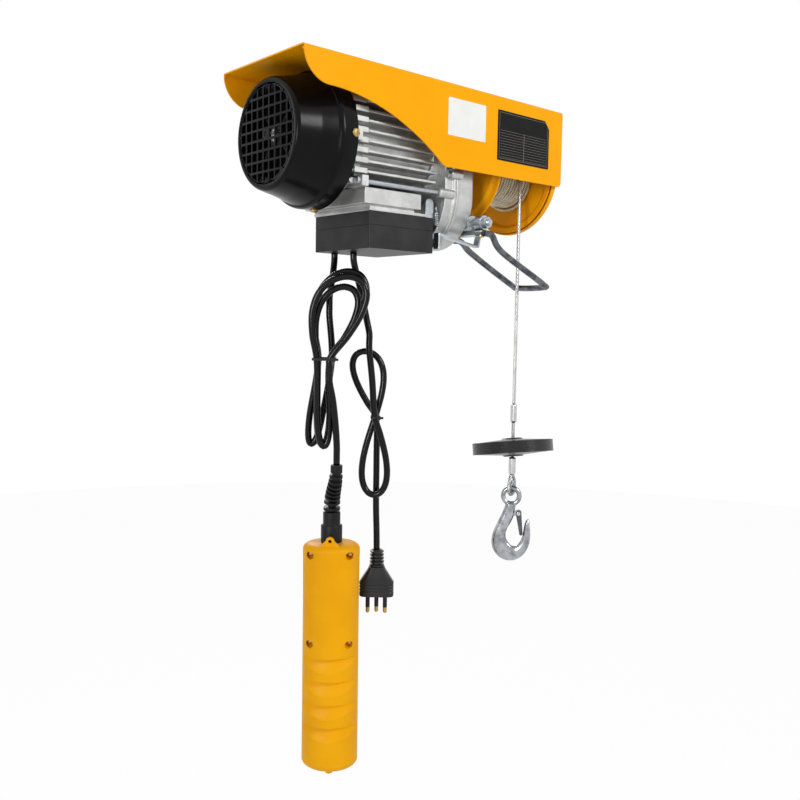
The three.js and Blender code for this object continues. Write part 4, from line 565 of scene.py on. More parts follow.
def tube(path: np.ndarray, radius: Union[float, np.ndarray], sides: int, reference: Sequence[float]) -> Shell:
    """A round tube: rings square to the path, each turned by a reference direction.

    The ring's first direction is tangent x reference, and its second completes the square.

    Args:
        path: The centre line.
        radius: One radius or one for each point.
        sides: Faces round the tube.
        reference: A direction that the path never follows, or one for each point.

    Returns:
        The shell with closed ends, whose V is the way along in metres.
    """
    tangent = np.gradient(path, axis=0)
    tangent /= np.linalg.norm(tangent, axis=1, keepdims=True)
    first = np.cross(tangent, np.broadcast_to(np.asarray(reference, float), path.shape))
    first /= np.linalg.norm(first, axis=1, keepdims=True)
    second = np.cross(first, tangent)
    angle = np.linspace(0, TURN, sides, endpoint=False)
    ring = np.cos(angle)[None, :, None] * first[:, None] + np.sin(angle)[None, :, None] * second[:, None]
    wide = np.broadcast_to(np.asarray(radius, float), (len(path),))
    return grid(path[:, None] + wide[:, None, None] * ring, around=True, capped=True,
                scale=(1, walked(path)[-1] * MM))


def smooth_step(share: np.ndarray) -> np.ndarray:
    """Nought to one along s squared times (3 - 2s), held outside."""
    s = np.clip(share, 0, 1)
    return s * s * (3 - 2 * s)


def turn_about(axis: Axis, degrees: float) -> np.ndarray:
    """The matrix of a turn about an axis through the origin."""
    return np.array(Matrix.Rotation(math.radians(degrees), 3, axis.name))


def to_mesh(name: str, shell: Shell, closed: bool = True) -> bpy.types.Object:
    """Puts a shell into a mesh object, in metres, merged and with its faces outwards.

    Args:
        name: The object's name.
        shell: The surface.
        closed: The surface encloses a space; an open one keeps its faces as they are.

    Returns:
        The object at the origin.
    """
    mesh = bpy.data.meshes.new(name)
    faces = [row for block in shell.faces for row in block.tolist()]
    mesh.from_pydata((shell.points * MM).tolist(), [], faces)
    mesh.uv_layers.new(name="UVMap").data.foreach_set("uv", np.concatenate(shell.uvs).ravel())
    work = bmesh.new()
    work.from_mesh(mesh)
    bmesh.ops.remove_doubles(work, verts=work.verts, dist=2e-6)
    if closed:
        bmesh.ops.recalc_face_normals(work, faces=work.faces)
    work.to_mesh(mesh)
    work.free()
    mesh.polygons.foreach_set("use_smooth", np.ones(len(mesh.polygons), bool))
    made = bpy.data.objects.new(name, mesh)
    bpy.context.scene.collection.objects.link(made)
    return made


def bevelled(piece: bpy.types.Object, width: float, angle: float = 30.0,
             segments: int = 2) -> bpy.types.Object:
    """Rounds a piece's sharp edges by a width in millimetres and levels its shading."""
    bevel = piece.modifiers.new("Bevel", "BEVEL")
    bevel.width = width * MM
    bevel.segments = segments
    bevel.limit_method = "ANGLE"
    bevel.angle_limit = math.radians(angle)
    return levelled(piece)


def levelled(piece: bpy.types.Object) -> bpy.types.Object:
    """Lets large faces lead the shading, so that flat ones look flat."""
    weigh = piece.modifiers.new("Normals", "WEIGHTED_NORMAL")
    weigh.weight = 60
    weigh.keep_sharp = True
    return piece


def settled(piece: bpy.types.Object) -> bpy.types.Object:
    """Applies a piece's modifiers to its mesh."""
    seen = piece.evaluated_get(bpy.context.evaluated_depsgraph_get())
    mesh = bpy.data.meshes.new_from_object(seen)
    piece.modifiers.clear()
    old, piece.data = piece.data, mesh
    bpy.data.meshes.remove(old)
    return piece


def cut(piece: bpy.types.Object, *cutters: Shell) -> bpy.types.Object:
    """Cuts closed shells out of a piece."""
    tools = []
    for number, shell in enumerate(cutters):
        tool = to_mesh(f"cutter_{number}", shell)
        step = piece.modifiers.new("Cut", "BOOLEAN")
        step.operation = "DIFFERENCE"
        step.solver = "EXACT"
        step.object = tool
        tools.append(tool)
    settled(piece)
    for tool in tools:
        bpy.data.objects.remove(tool)
    return piece


@dataclass
class Assembly:
    """What the sub-assemblies share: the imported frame, and how a surface becomes a piece that rides."""

    frame: dict[str, Any]

    def body(self, node: str) -> str:
        """The body that a CAD node belongs to."""
        held = self.frame["record"]["behaviour"]["bodies"]
        return next(name for name, nodes in held.items() if node in nodes)

    def paint(self, piece: bpy.types.Object, look: Look, *nodes: str) -> None:
        """Gives a piece its finish, and lets it stand for CAD nodes."""
        piece.data.materials.clear()
        piece.data.materials.append(look.value.material())
        if nodes:
            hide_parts(*nodes)

    def dress(self, piece: bpy.types.Object, look: Look, body: str, *nodes: str) -> bpy.types.Object:
        """Gives a piece its finish and its body, and lets it stand for CAD nodes.

        Args:
            piece: The piece.
            look: Its finish.
            body: The body it rides on.
            nodes: The CAD nodes it replaces.

        Returns:
            The piece.
        """
        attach(piece, body)
        self.paint(piece, look, *nodes)
        LOG.info("%s on %s, %d faces", piece.name, body, len(piece.data.polygons))
        return piece

    def piece(self, name: str, shell: Shell, look: Look, body: str, *nodes: str,
              bevel: float = 0.0) -> bpy.types.Object:
        """A closed shell made a dressed piece, with its edges rounded if a bevel is given."""
        made = to_mesh(name, shell)
        if bevel:
            bevelled(made, bevel)
        else:
            levelled(made)
        return self.dress(made, look, body, *nodes)

    def softened(self, node: str, look: Look, width: float, angle: float = 34.0) -> bpy.types.Object:
        """Stands in for a CAD node with the same shape, its edges rounded and its round faces shaded smooth.

        Args:
            node: The CAD node.
            look: The finish.
            width: Width of the rounding in millimetres.
            angle: Edges sharper than this many degrees are rounded.

        Returns:
            The piece that replaces the node.
        """
        mesh = self.frame["nodes"][node].data.copy()
        work = bmesh.new()
        work.from_mesh(mesh)
        bmesh.ops.remove_doubles(work, verts=work.verts, dist=2e-6)
        bmesh.ops.dissolve_limit(work, angle_limit=math.radians(1.5), verts=work.verts, edges=work.edges)
        bmesh.ops.recalc_face_normals(work, faces=work.faces)
        for edge in work.edges:
            edge.smooth = edge.calc_face_angle(math.pi) < math.radians(angle)
        work.to_mesh(mesh)
        work.free()
        mesh.polygons.foreach_set("use_smooth", np.ones(len(mesh.polygons), bool))
        made = bpy.data.objects.new(f"{node}_soft", mesh)
        bpy.context.scene.collection.objects.link(made)
        bevelled(made, width, angle)
        return self.dress(made, look, self.body(node), node)


@dataclass(frozen=True)
class Hanging:
    """Where a cord hangs: across, towards the viewer, and down from the roof, in millimetres."""

    x: float
    y: float
    turn: float = -41.87

    def place(self, points: Sequence[Sequence[float]]) -> np.ndarray:
        """Rows of (across, towards, down) as points: the plane turned about Z, and down made -Z."""
        across, towards, down = np.asarray(points, float).T
        local = np.stack([across, -towards, -down], axis=1)
        return local @ turn_about(Axis.Z, self.turn).T + np.array([self.x, self.y, 0])

    def carried(self, shell: Shell) -> Shell:
        """A shell made in the hanging plane, with -Y towards the viewer, put in its place."""
        return shell.moved(turn_about(Axis.Z, self.turn), (self.x, self.y, 0))

    def depth_axis(self) -> np.ndarray:
        """The direction from the plane to the viewer."""
        return turn_about(Axis.Z, self.turn) @ np.array([0, -1.0, 0])


@dataclass
class Studio:
    """Camera, floor, lamps and surroundings."""

    eye: tuple[float, float, float] = (-631.7, -713.3, -243.9)
    heading: float = 41.498
    dip: float = -4.999
    roll: float = 0.949
    focal: float = 869.0
    frame_width: float = 800.0
    sensor: float = 36.0
    floor_depth: float = 1500.0
    floor_radius: float = 6000.0
    floor_tone: float = 236.0
    floor_share: float = 0.97
    surround: float = 0.46
    lamps: tuple = (("key", (0.5, -2.2, 0.9), (0.05, 0, -0.25), 0.7, 28.0),
                    ("side", (-2.2, -0.9, 0.0), (0.05, 0, -0.2), 0.6, 20.0),
                    ("rim", (0.9, 2.0, 0.8), (0, 0, -0.25), 0.7, 15.0))

    def place_camera(self) -> None:
        """Sets the camera along its heading; right and up are the level pair turned by the roll."""
        heading, dip, roll = (math.radians(v) for v in (self.heading, self.dip, self.roll))
        ahead = np.array([math.sin(heading) * math.cos(dip), math.cos(heading) * math.cos(dip),
                          math.sin(dip)])
        level = np.array([math.cos(heading), -math.sin(heading), 0])
        right = level * math.cos(roll) + np.cross(level, ahead) * math.sin(roll)
        turn = np.eye(4)
        turn[:3, :3] = np.stack([right, np.cross(right, ahead), -ahead], axis=1)
        turn[:3, 3] = np.array(self.eye) * MM
        data = bpy.data.cameras.new("camera")
        data.sensor_width = self.sensor
        data.lens = self.focal / self.frame_width * self.sensor
        data.clip_start = 0.01
        camera = bpy.data.objects.new("camera", data)
        camera.matrix_world = Matrix(turn.tolist())
        bpy.context.scene.collection.objects.link(camera)
        bpy.context.scene.camera = camera

    def seen_directly(self, recipe: Recipe) -> Value:
        """One for rays from the camera, mirrors and glass."""
        made = recipe.node("ShaderNodeLightPath", {}, {})
        rays = [Value(recipe, made.outputs[name])
                for name in ("Is Camera Ray", "Is Glossy Ray", "Is Transmission Ray")]
        return rays[0] + rays[1] + rays[2]

    def lay_floor(self) -> None:
        """A pale disc under the object that keeps its shadow."""
        slab = [[0, 0], [-20, self.floor_radius], [-40, self.floor_radius], [-40, 0]]
        floor = to_mesh("floor", turned(slab, Axis.Z, (0, 0, -self.floor_depth), 64))
        recipe = Recipe(bpy.data.materials.new("pale_floor"))
        plain = recipe.node("ShaderNodeBsdfDiffuse", {}, {"Color": linear([self.floor_tone] * 3)})
        white = recipe.node("ShaderNodeEmission", {}, {"Color": (1, 1, 1, 1), "Strength": 1.0})
        share = self.seen_directly(recipe) * self.floor_share
        shader = recipe.close("ShaderNodeMixShader", {0: share, 1: plain.outputs[0], 2: white.outputs[0]})
        floor.data.materials.append(shader)

    def light(self) -> None:
        """Three large lamps and an even surround."""
        for name, place, aim, size, power in self.lamps:
            data = bpy.data.lights.new(name, "AREA")
            data.size = size
            data.energy = power
            lamp = bpy.data.objects.new(name, data)
            way = Vector(aim) - Vector(place)
            lamp.matrix_world = Matrix.Translation(place) @ way.to_track_quat("-Z", "Y").to_matrix().to_4x4()
            bpy.context.scene.collection.objects.link(lamp)
        world = bpy.data.worlds.new("surround")
        bpy.context.scene.world = world
        recipe = Recipe(world, "ShaderNodeOutputWorld")
        dim, bright = (recipe.node("ShaderNodeBackground", {},
                                   {"Color": (1, 1, 1, 1), "Strength": strength}).outputs[0]
                       for strength in (self.surround, 1.0))
        recipe.close("ShaderNodeMixShader", {0: self.seen_directly(recipe), 1: dim, 2: bright})
        bpy.context.scene.view_settings.view_transform = "Standard"


@dataclass
class PendantCord(Assembly):
    """The control cord: down from the box, three loops tied at their waist, and on to the handset."""

    place: Hanging = Hanging(-70, 30)
    radius: float = 3.5
    upper: tuple = ((0, 0, 170.4), (0, 0, 177), (-0.8, 4, 190), (-2, 13, 205), (-3, 20.4, 217), (-3, 21, 222),
                    (-3, 21, 228))
    lower: tuple = ((0, 45.9, 304), (3.4, 45, 322), (6.4, 44, 348), (7.6, 40.4, 370), (7.6, 40, 380),
                    (7.6, 40, 389.7))
    waist: float = 281.0
    drop: float = 90.0
    waist_half: float = 6.8
    waist_across: float = -6.8
    first_layer: float = 21.0
    layer: float = 8.3
    loops: int = 3
    round_share: float = 0.35
    rises: tuple = (90, 74, 84)
    widens: tuple = (40, 30, 42)
    leans: tuple = (24, 20, 24)
    spreads: tuple = (-13.6, -1, 1)
    length: float = 1.380

    def hank(self) -> np.ndarray:
        """Knots of the hank: loops whose upper half widens and leans, each one layer nearer."""
        step = np.arange(20 * self.loops + 1)
        angle = math.pi / 2 + TURN * step / 20
        high = np.cos(angle)
        high[np.abs(high) < 1e-12] = 1e-12
        share = np.abs(high)
        loop = np.minimum(step // 20, self.loops - 1)
        up = high > 0
        fall = share ** self.round_share
        half = self.waist_half + np.where(up, np.take(self.widens, loop) * share, 0)
        centre = self.waist_across + np.where(up, share * np.take(self.leans, loop),
                                              fall * np.take(self.spreads, loop))
        height = np.where(up, np.take(self.rises, loop) * high, -self.drop * fall)
        towards = self.first_layer + self.layer * step / 20
        return np.stack([centre + half * np.sin(angle), towards, self.waist - height], axis=1)

    def knots(self) -> np.ndarray:
        """All the knots from the gland to the handset's relief."""
        start = np.array([[self.upper[-1][0], self.upper[-1][1], 235.3]])
        return np.vstack([self.upper, start, self.hank(), [[0, 45.9, 289.7]], [[0, 45.9, 297]], self.lower])

    def path(self) -> np.ndarray:
        """The cord's line, in millimetres."""
        return even(spline(self.place.place(self.knots()), 10), 1.6)

    def build(self) -> bpy.types.Object:
        """Makes the cord."""
        shell = tube(self.path(), self.radius, 16, self.place.depth_axis())
        return self.piece("pendant_cord", shell, Look.CORD, "frame", "pendant_cord_upper", "pendant_hank",
                          "pendant_cord_lower")

    def declare(self, cord: bpy.types.Object, pieces: Sequence[Any]) -> None:
        """Works out the cord's path in metres and does nothing more with it."""
        path = self.path() * MM


@dataclass
class MainsCord(Assembly):
    """The mains lead: a figure of eight tied at its waist, and a tail to the plug."""

    place: Hanging = Hanging(-64, 5)
    radius: float = 3.5
    upper: tuple = ((0, 0, 170.4), (0, 0, 178), (3.3, -2.2, 193), (9, -3.2, 215), (13.9, -3.2, 238),
                    (17.4, -2, 255))
    tail: tuple = ((26.3, -18, 400), (26.4, -18, 440), (27.4, -18, 470), (27.8, -18, 489))
    top: float = 262.3
    waist: float = 343.0
    rise: float = 69.5
    drop: float = 84.0
    upper_half: float = 16.2
    lower_half: float = 13.6
    across: float = 24.5
    lean: float = -12.0
    first_layer: float = -2.0
    layers: float = 16.0
    length: float = 0.669

    def hank(self) -> np.ndarray:
        """Knots of the figure of eight: across is the sine of twice the angle, each pass further back."""
        step = np.arange(33)
        angle = math.pi / 2 + TURN * step / 32
        high = np.cos(angle)
        high[np.abs(high) < 1e-12] = 1e-12
        up = high > 0
        half = np.where(up, self.upper_half, self.lower_half)
        centre = self.across + np.where(up, self.lean * high, 0)
        down = self.waist - np.where(up, self.rise, self.drop) * high
        return np.stack([centre - half * np.sin(2 * angle), self.first_layer - self.layers * step / 32, down],
                        axis=1)

    def knots(self) -> np.ndarray:
        """All the knots from the gland to the plug."""
        across = self.upper[-1][0]
        start = [[across, self.first_layer, self.top], [across, self.first_layer, self.top + 7],
                 [(across + self.across) / 2, self.first_layer, (self.top + self.waist) / 2]]
        end = [[26.2, -18, 376.7], [26.2, -18, 383.7]]
        return np.vstack([self.upper, start, self.hank(), end, self.tail])

    def path(self) -> np.ndarray:
        """The cord's line, in millimetres."""
        return even(spline(self.place.place(self.knots()), 10), 1.6)

    def build(self) -> bpy.types.Object:
        """Makes the cord."""
        shell = tube(self.path(), self.radius, 16, self.place.depth_axis())
        return self.piece("mains_cord", shell, Look.CORD, "frame", "mains_cord_upper", "mains_hank",
                          "mains_cord_tail")

    def declare(self, cord: bpy.types.Object, pieces: Sequence[Any]) -> None:
        """Works out the cord's path in metres and does nothing more with it."""
        path = self.path() * MM


@dataclass
class CableTie(Assembly):
    """A tie round a hank's waist, with its head and a cut tail."""

    thickness: float = 1.2
    height: float = 2.6
    clear: float = 0.3
    head: tuple = (4.2, 3.2, 4.0)
    tail: float = 3.2

    def build(self, name: str, node: str, cord: Union[PendantCord, MainsCord]) -> bpy.types.Object:
        """Makes the band round the strands that pass the waist.

        Args:
            name: The piece's name.
            node: The CAD tie it replaces.
            cord: The cord it holds.

        Returns:
            The piece.
        """
        hung = cord.place
        local = (cord.path() - np.array([hung.x, hung.y, 0])) @ turn_about(Axis.Z, hung.turn)
        near = local[np.abs(local[:, 2] + cord.waist) < self.height / 2]
        reach = cord.radius + self.clear
        low, high = near[:, :2].min(axis=0) - reach, near[:, :2].max(axis=0) + reach
        corners = np.array([[low[0], low[1]], [high[0], low[1]], [high[0], high[1]], [low[0], high[1]]])
        inner = eased(corners, reach, 8, closed=True)
        middle = (low + high) / 2
        out = (inner - middle) / np.linalg.norm(inner - middle, axis=1, keepdims=True)
        rings = [inner, inner + out * self.thickness]
        half = self.height / 2
        section = [(0, -half), (1, -half), (1, half), (0, half)]
        points = np.stack([np.column_stack([rings[k], np.full(len(inner), z - cord.waist)]) for k,
                           z in section])
        band = grid(points, around=True, closed=True)
        head_low = np.array([high[0] - 2, low[1] - self.head[1], -cord.waist - self.head[2] / 2])
        head = rounded_block(head_low, head_low + np.array(self.head), 0.8, Axis.Z)
        tail_low = head_low + np.array([self.head[0] - 0.2, 0.8, 0.8])
        tail = rounded_block(tail_low, tail_low + np.array([self.tail, 1.1, 2.4]), 0.3, Axis.X)
        shell = cord.place.carried(together(band, head, tail))
        return self.piece(name, shell, Look.BLACK, "frame", node, bevel=0.25)


@dataclass
class Canopy(Assembly):
    """The folded sheet roof with its two skirts, its blank label and plate, and the roof's screws."""

    length: float = 360.0
    width: float = 138.0
    skirt: float = 84.2
    fold: float = 2.4
    corner: float = 6.0
    end_round: float = 29.5
    pull: tuple = (0.222, 0.368)
    push: tuple = (0.367, 0.618)
    knee: tuple = (0.471, 0.963)
    turn: tuple = (0.482, 1.0)
    flat: tuple = (0.494, 1.0)
    clamp_holes: tuple = ((-75, -42), (-75, 42), (75, -42), (75, 42))
    clamp_radius: float = 4.5
    screw_places: tuple = (-61.0, 39.0)
    screw_radius: float = 5.8
    label: tuple = (-2.8, 52.3, -52.0, -14.5)
    plate: tuple = (71.0, 156.0, -67.0, -14.5)

    def edge(self) -> np.ndarray:
        """Lower edge of a skirt as (x, depth): a quarter round, a sweep, a bend, a straight and a round."""
        half = self.length / 2
        at = lambda share: np.array([share[0] * self.length - half, share[1] * self.skirt])
        angle = np.linspace(0, math.pi / 2, 25)[:, None]
        quarter = np.hstack([-np.cos(angle), np.sin(angle)])
        first = np.array([self.end_round - half, SHEET]) + self.end_round * quarter
        t = np.linspace(0, 1, 60)[1:, None]
        a, b, c, d = first[-1], at(self.pull), at(self.push), at(self.knee)
        sweep = (1 - t) ** 3 * a + 3 * t * (1 - t) ** 2 * b + 3 * t * t * (1 - t) * c + t ** 3 * d
        t = np.linspace(0, 1, 10)[1:, None]
        bend = (1 - t) ** 2 * d + 2 * t * (1 - t) * at(self.turn) + t * t * at(self.flat)
        straight = np.stack([np.linspace(bend[-1, 0], half - self.corner, 40)[1:], np.full(39, self.skirt)],
                            axis=1)
        angle = np.linspace(math.pi / 2, 0, 9)[1:, None]
        last = np.array([half - self.corner,
                         self.skirt - self.corner]) + self.corner * np.hstack([np.cos(angle), np.sin(angle)])
        return np.vstack([first, sweep, bend, straight, last])

    def sheet(self) -> Shell:
        """The sheet's outer face: for each place along, the roof, the fold's arc and the skirt."""
        edge = self.edge()
        x, depth = edge[:, 0, None], edge[:, 1, None]
        flat = self.width / 2 - self.fold
        angle = np.arccos(np.clip(1 - depth / self.fold, 0, 1))
        arc = np.linspace(0, 1, 7)[None, 1:] * angle
        roof = np.broadcast_to(np.linspace(0, flat, 14)[None, :], (len(x), 14))
        fold_y, fold_z = flat + self.fold * np.sin(arc), self.fold * (np.cos(arc) - 1)
        left = np.maximum(depth - self.fold, 0)
        down = np.linspace(0, 1, 14)[None, 1:] * left
        skirt_y, skirt_z = np.broadcast_to(fold_y[:, -1:], down.shape), fold_z[:, -1:] - down
        half_y = np.hstack([roof, fold_y, skirt_y])
        half_z = np.hstack([np.zeros_like(roof), fold_z, skirt_z])
        y = np.hstack([-half_y[:, :0:-1], half_y])
        z = np.hstack([half_z[:, :0:-1], half_z])
        return grid(np.stack([np.broadcast_to(x, y.shape), y, z], axis=2), around=False)

    def make_sheet(self) -> bpy.types.Object:
        """The canopy with its thickness inwards and its holes."""
        made = to_mesh("canopy_sheet", self.sheet(), closed=False)
        up = sum(p.normal.z * p.area for p in made.data.polygons)
        wall = made.modifiers.new("Wall", "SOLIDIFY")
        wall.thickness = SHEET * MM
        wall.offset = -1.0 if up > 0 else 1.0
        wall.use_even_offset = True
        settled(made)
        holes = [turned([[-9, 0], [-9, self.clamp_radius], [4, self.clamp_radius], [4, 0]], Axis.Z, (x, y, 0),
                        40) for x, y in self.clamp_holes]
        holes += [turned([[-9, 0], [-9, self.screw_radius], [4, self.screw_radius], [4, 0]], Axis.Z,
                         (x, 0, 0), 40) for x in self.screw_places]
        cut(made, *holes)
        work = bmesh.new()
        work.from_mesh(made.data)
        bmesh.ops.recalc_face_normals(work, faces=work.faces)
        work.to_mesh(made.data)
        work.free()
        made.data.polygons.foreach_set("use_smooth", np.ones(len(made.data.polygons), bool))
        bevelled(made, 0.35, 50)
        return self.dress(made, Look.PAINT, "frame", "canopy")

    def make_screws(self) -> None:
        """Button heads with a hexagon socket, sunk in the roof's holes."""
        for number, x in enumerate(self.screw_places):
            head = turned([[-1.9, 0], [-1.9, 5.2], [-1.2, 5.2], [-0.4, 3.9], [-0.2, 2.9], [-0.2, 2.0],
                           [-1.2, 1.9], [-1.2, 0]],
                          Axis.Z, (x, 0, 0), 36, 0.25)
            self.piece(f"roof_screw_{number + 1}", head, Look.BRIGHT, "frame")

    def make_signs(self) -> None:
        """The bare label and the bare plate on the front skirt."""
        face = -self.width / 2
        x0, x1, z0, z1 = self.label
        corners = np.array([[x0, z0], [x1, z0], [x1, z1], [x0, z1]])
        flip = corners[:, ::-1]
        self.piece("blank_label", drawn(eased(flip, 1.5, 4, True), Axis.Y, face - 0.15, face + 0.05),
                   Look.PAPER, "frame", bevel=0.05)
        x0, x1, z0, z1 = self.plate
        corners = np.array([[x0, z0], [x1, z0], [x1, z1 - 8.7], [x1 - 7.5, z1], [x0, z1]])
        self.piece("blank_plate", drawn(eased(corners[:, ::-1], 0.8, 3, True), Axis.Y, face - 0.5,
                                        face + 0.05), Look.PLATE, "frame", bevel=0.12)

    def build(self) -> None:
        """Makes the canopy's pieces."""
        self.make_sheet()
        self.make_screws()
        self.make_signs()


@dataclass
class DrumEnd(Assembly):
    """End plate, drum and the rope wound on it."""

    plate_x: float = 177.4
    lip: float = 7.4
    side: float = 67.2
    top: float = 65.7
    top_round: float = 5.0
    start: float = 80.1
    end: float = 172.8
    rim: float = 64.9
    band: float = 6.0
    dish: float = 3.4
    sheet: float = 2.0
    barrel: float = 24.0
    rope_radius: float = 1.9
    wound: float = 33.4
    turns: int = 17
    climb: float = 4.35
    fall_x: float = 145.3

    def plate_outline(self, inset: float) -> np.ndarray:
        """Half a circle below, and a square top with rounded corners: side and top drawn in by an inset."""
        side, top, corner = self.side - inset, self.top - inset, max(self.top_round - inset, 0.4)
        low = np.linspace(math.pi, TURN, 73)
        right = np.linspace(0, math.pi / 2, 9)
        left = np.linspace(math.pi / 2, math.pi, 9)
        rows = [np.stack([side * np.cos(low), side * np.sin(low)], axis=1),
                np.stack([side - corner + corner * np.cos(right), top - corner + corner * np.sin(right)],
                         axis=1),
                np.stack([corner - side + corner * np.cos(left), top - corner + corner * np.sin(left)],
                         axis=1)]
        return np.vstack(rows)

    def make_plate(self) -> None:
        """The pressed plate: its lip, a rounded edge and a flat face, with the sheet's thickness inside."""
        rows = []
        edge = self.plate_x
        profile = [(edge - self.lip, 0.0), (edge - 3, 0.0)]
        arc = np.linspace(0, math.pi / 2, 7)
        profile += [(edge - 3 + 3 * math.sin(a), 3 - 3 * math.cos(a)) for a in arc[1:]]
        inner = [(x - SHEET, inset + SHEET) if inset > 2.9 else (min(x, edge - 3), inset + SHEET) for x,
                 inset in reversed(profile)]
        inner[0] = (edge - SHEET, 3.2)
        for x, inset in profile:
            rows.append(np.column_stack([np.full(91, x), self.plate_outline(inset)]))
        outer = np.stack(rows)
        rim = np.column_stack([np.full(91, edge - self.lip), self.plate_outline(SHEET)])
        back = [np.column_stack([np.full(91, x), self.plate_outline(inset)]) for x, inset in
                ((edge - SHEET - 2, SHEET), (edge - SHEET - 0.6, SHEET + 0.4), (edge - SHEET, SHEET + 1.6))]
        points = np.stack([back[2], back[1], back[0], rim, *outer]) + np.array([0, 0, AXIS_Z])
        shell = grid(points, around=True, capped=True)
        self.piece("drum_end_plate_pressed", shell, Look.PAINT, "frame", "drum_end_plate", bevel=0.25)

    def make_drum(self) -> None:
        """The drum: two dished flanges with rims on a barrel, turned about the main axis."""
        start, end, dish, sheet = self.start, self.end, self.dish, self.sheet
        dish_radius = self.rim - self.band
        fold = dish_radius - dish
        profile = [[start, 12.4], [start, fold], [start + dish, dish_radius], [start + dish, self.rim],
                   [start + dish + sheet, self.rim],
                   [start + dish + sheet, dish_radius], [start + sheet, fold], [start + sheet, self.barrel],
                   [end - sheet, self.barrel],
                   [end - sheet, fold], [end - dish - sheet, dish_radius], [end - dish - sheet, self.rim],
                   [end - dish, self.rim],
                   [end - dish, dish_radius], [end, fold], [end, 9.0]]
        outer = eased(np.array(profile), 0.9, 4)
        inner = np.array([[end - sheet, 9.0], [end - sheet, 21.0], [start + sheet, 21.0],
                          [start + sheet, 12.4]])
        shell = turned(np.vstack([outer, inner, outer[:1]]), Axis.X, (0, 0, AXIS_Z), 128)
        self.piece("drum_spun", shell, Look.DRUM_PAINT, "drum", "drum")

    def make_winding(self) -> None:
        """The rope on the drum: a helix between the flanges, then a turn that crosses to the fall."""
        last = self.end - self.sheet - 2 * self.rope_radius
        first = self.start + self.sheet + 0.3 + 2 * self.rope_radius + 2.6
        angle = np.linspace(0, TURN * (self.turns + 1), (self.turns + 1) * 40 + 1)
        on_top = angle / TURN - self.turns
        along = np.minimum(angle / (TURN * self.turns), 1)
        radius = self.wound + self.climb * smooth_step(on_top / 0.25)
        crossing = smooth_step((on_top - 0.18) / 0.82)
        wander = (0.2 * np.sin(2.63 * angle) + 0.16 * np.sin(0.77 * angle)) * np.clip(-on_top, 0, 1)
        x = first + (last - first) * along + (self.fall_x - last) * crossing + wander
        turn = angle - TURN * (self.turns + 1)
        path = np.stack([x, -radius * np.cos(turn), AXIS_Z - radius * np.sin(turn)], axis=1)
        lead = np.array([[first - 2.6, path[0, 1], AXIS_Z - 6.0 + 12.0]])
        path = np.vstack([lead + np.array([[0, 0.4, 0]]), path,
                          [[self.fall_x, -(self.wound + self.climb), AXIS_Z - 3.8]]])
        core = turned([[self.start + self.sheet + 0.3, 24.3], [self.start + self.sheet + 0.3, 30.9],
                       [self.end - self.sheet - 0.3, 30.9], [self.end - self.sheet - 0.3, 24.3]], Axis.X,
                      (0, 0, AXIS_Z), 96)
        shell = together(tube(path, self.rope_radius, 12, (1, 0, 0)), core)
        self.piece("rope_turns", shell, Look.WOUND_ROPE, "drum", "rope_winding", "rope_core")

    def build(self) -> None:
        """Makes the plate, the drum and the winding."""
        self.make_plate()
        self.make_drum()
        self.make_winding()
        self.softened("drum_stub", Look.DARK_STEEL, 0.4)


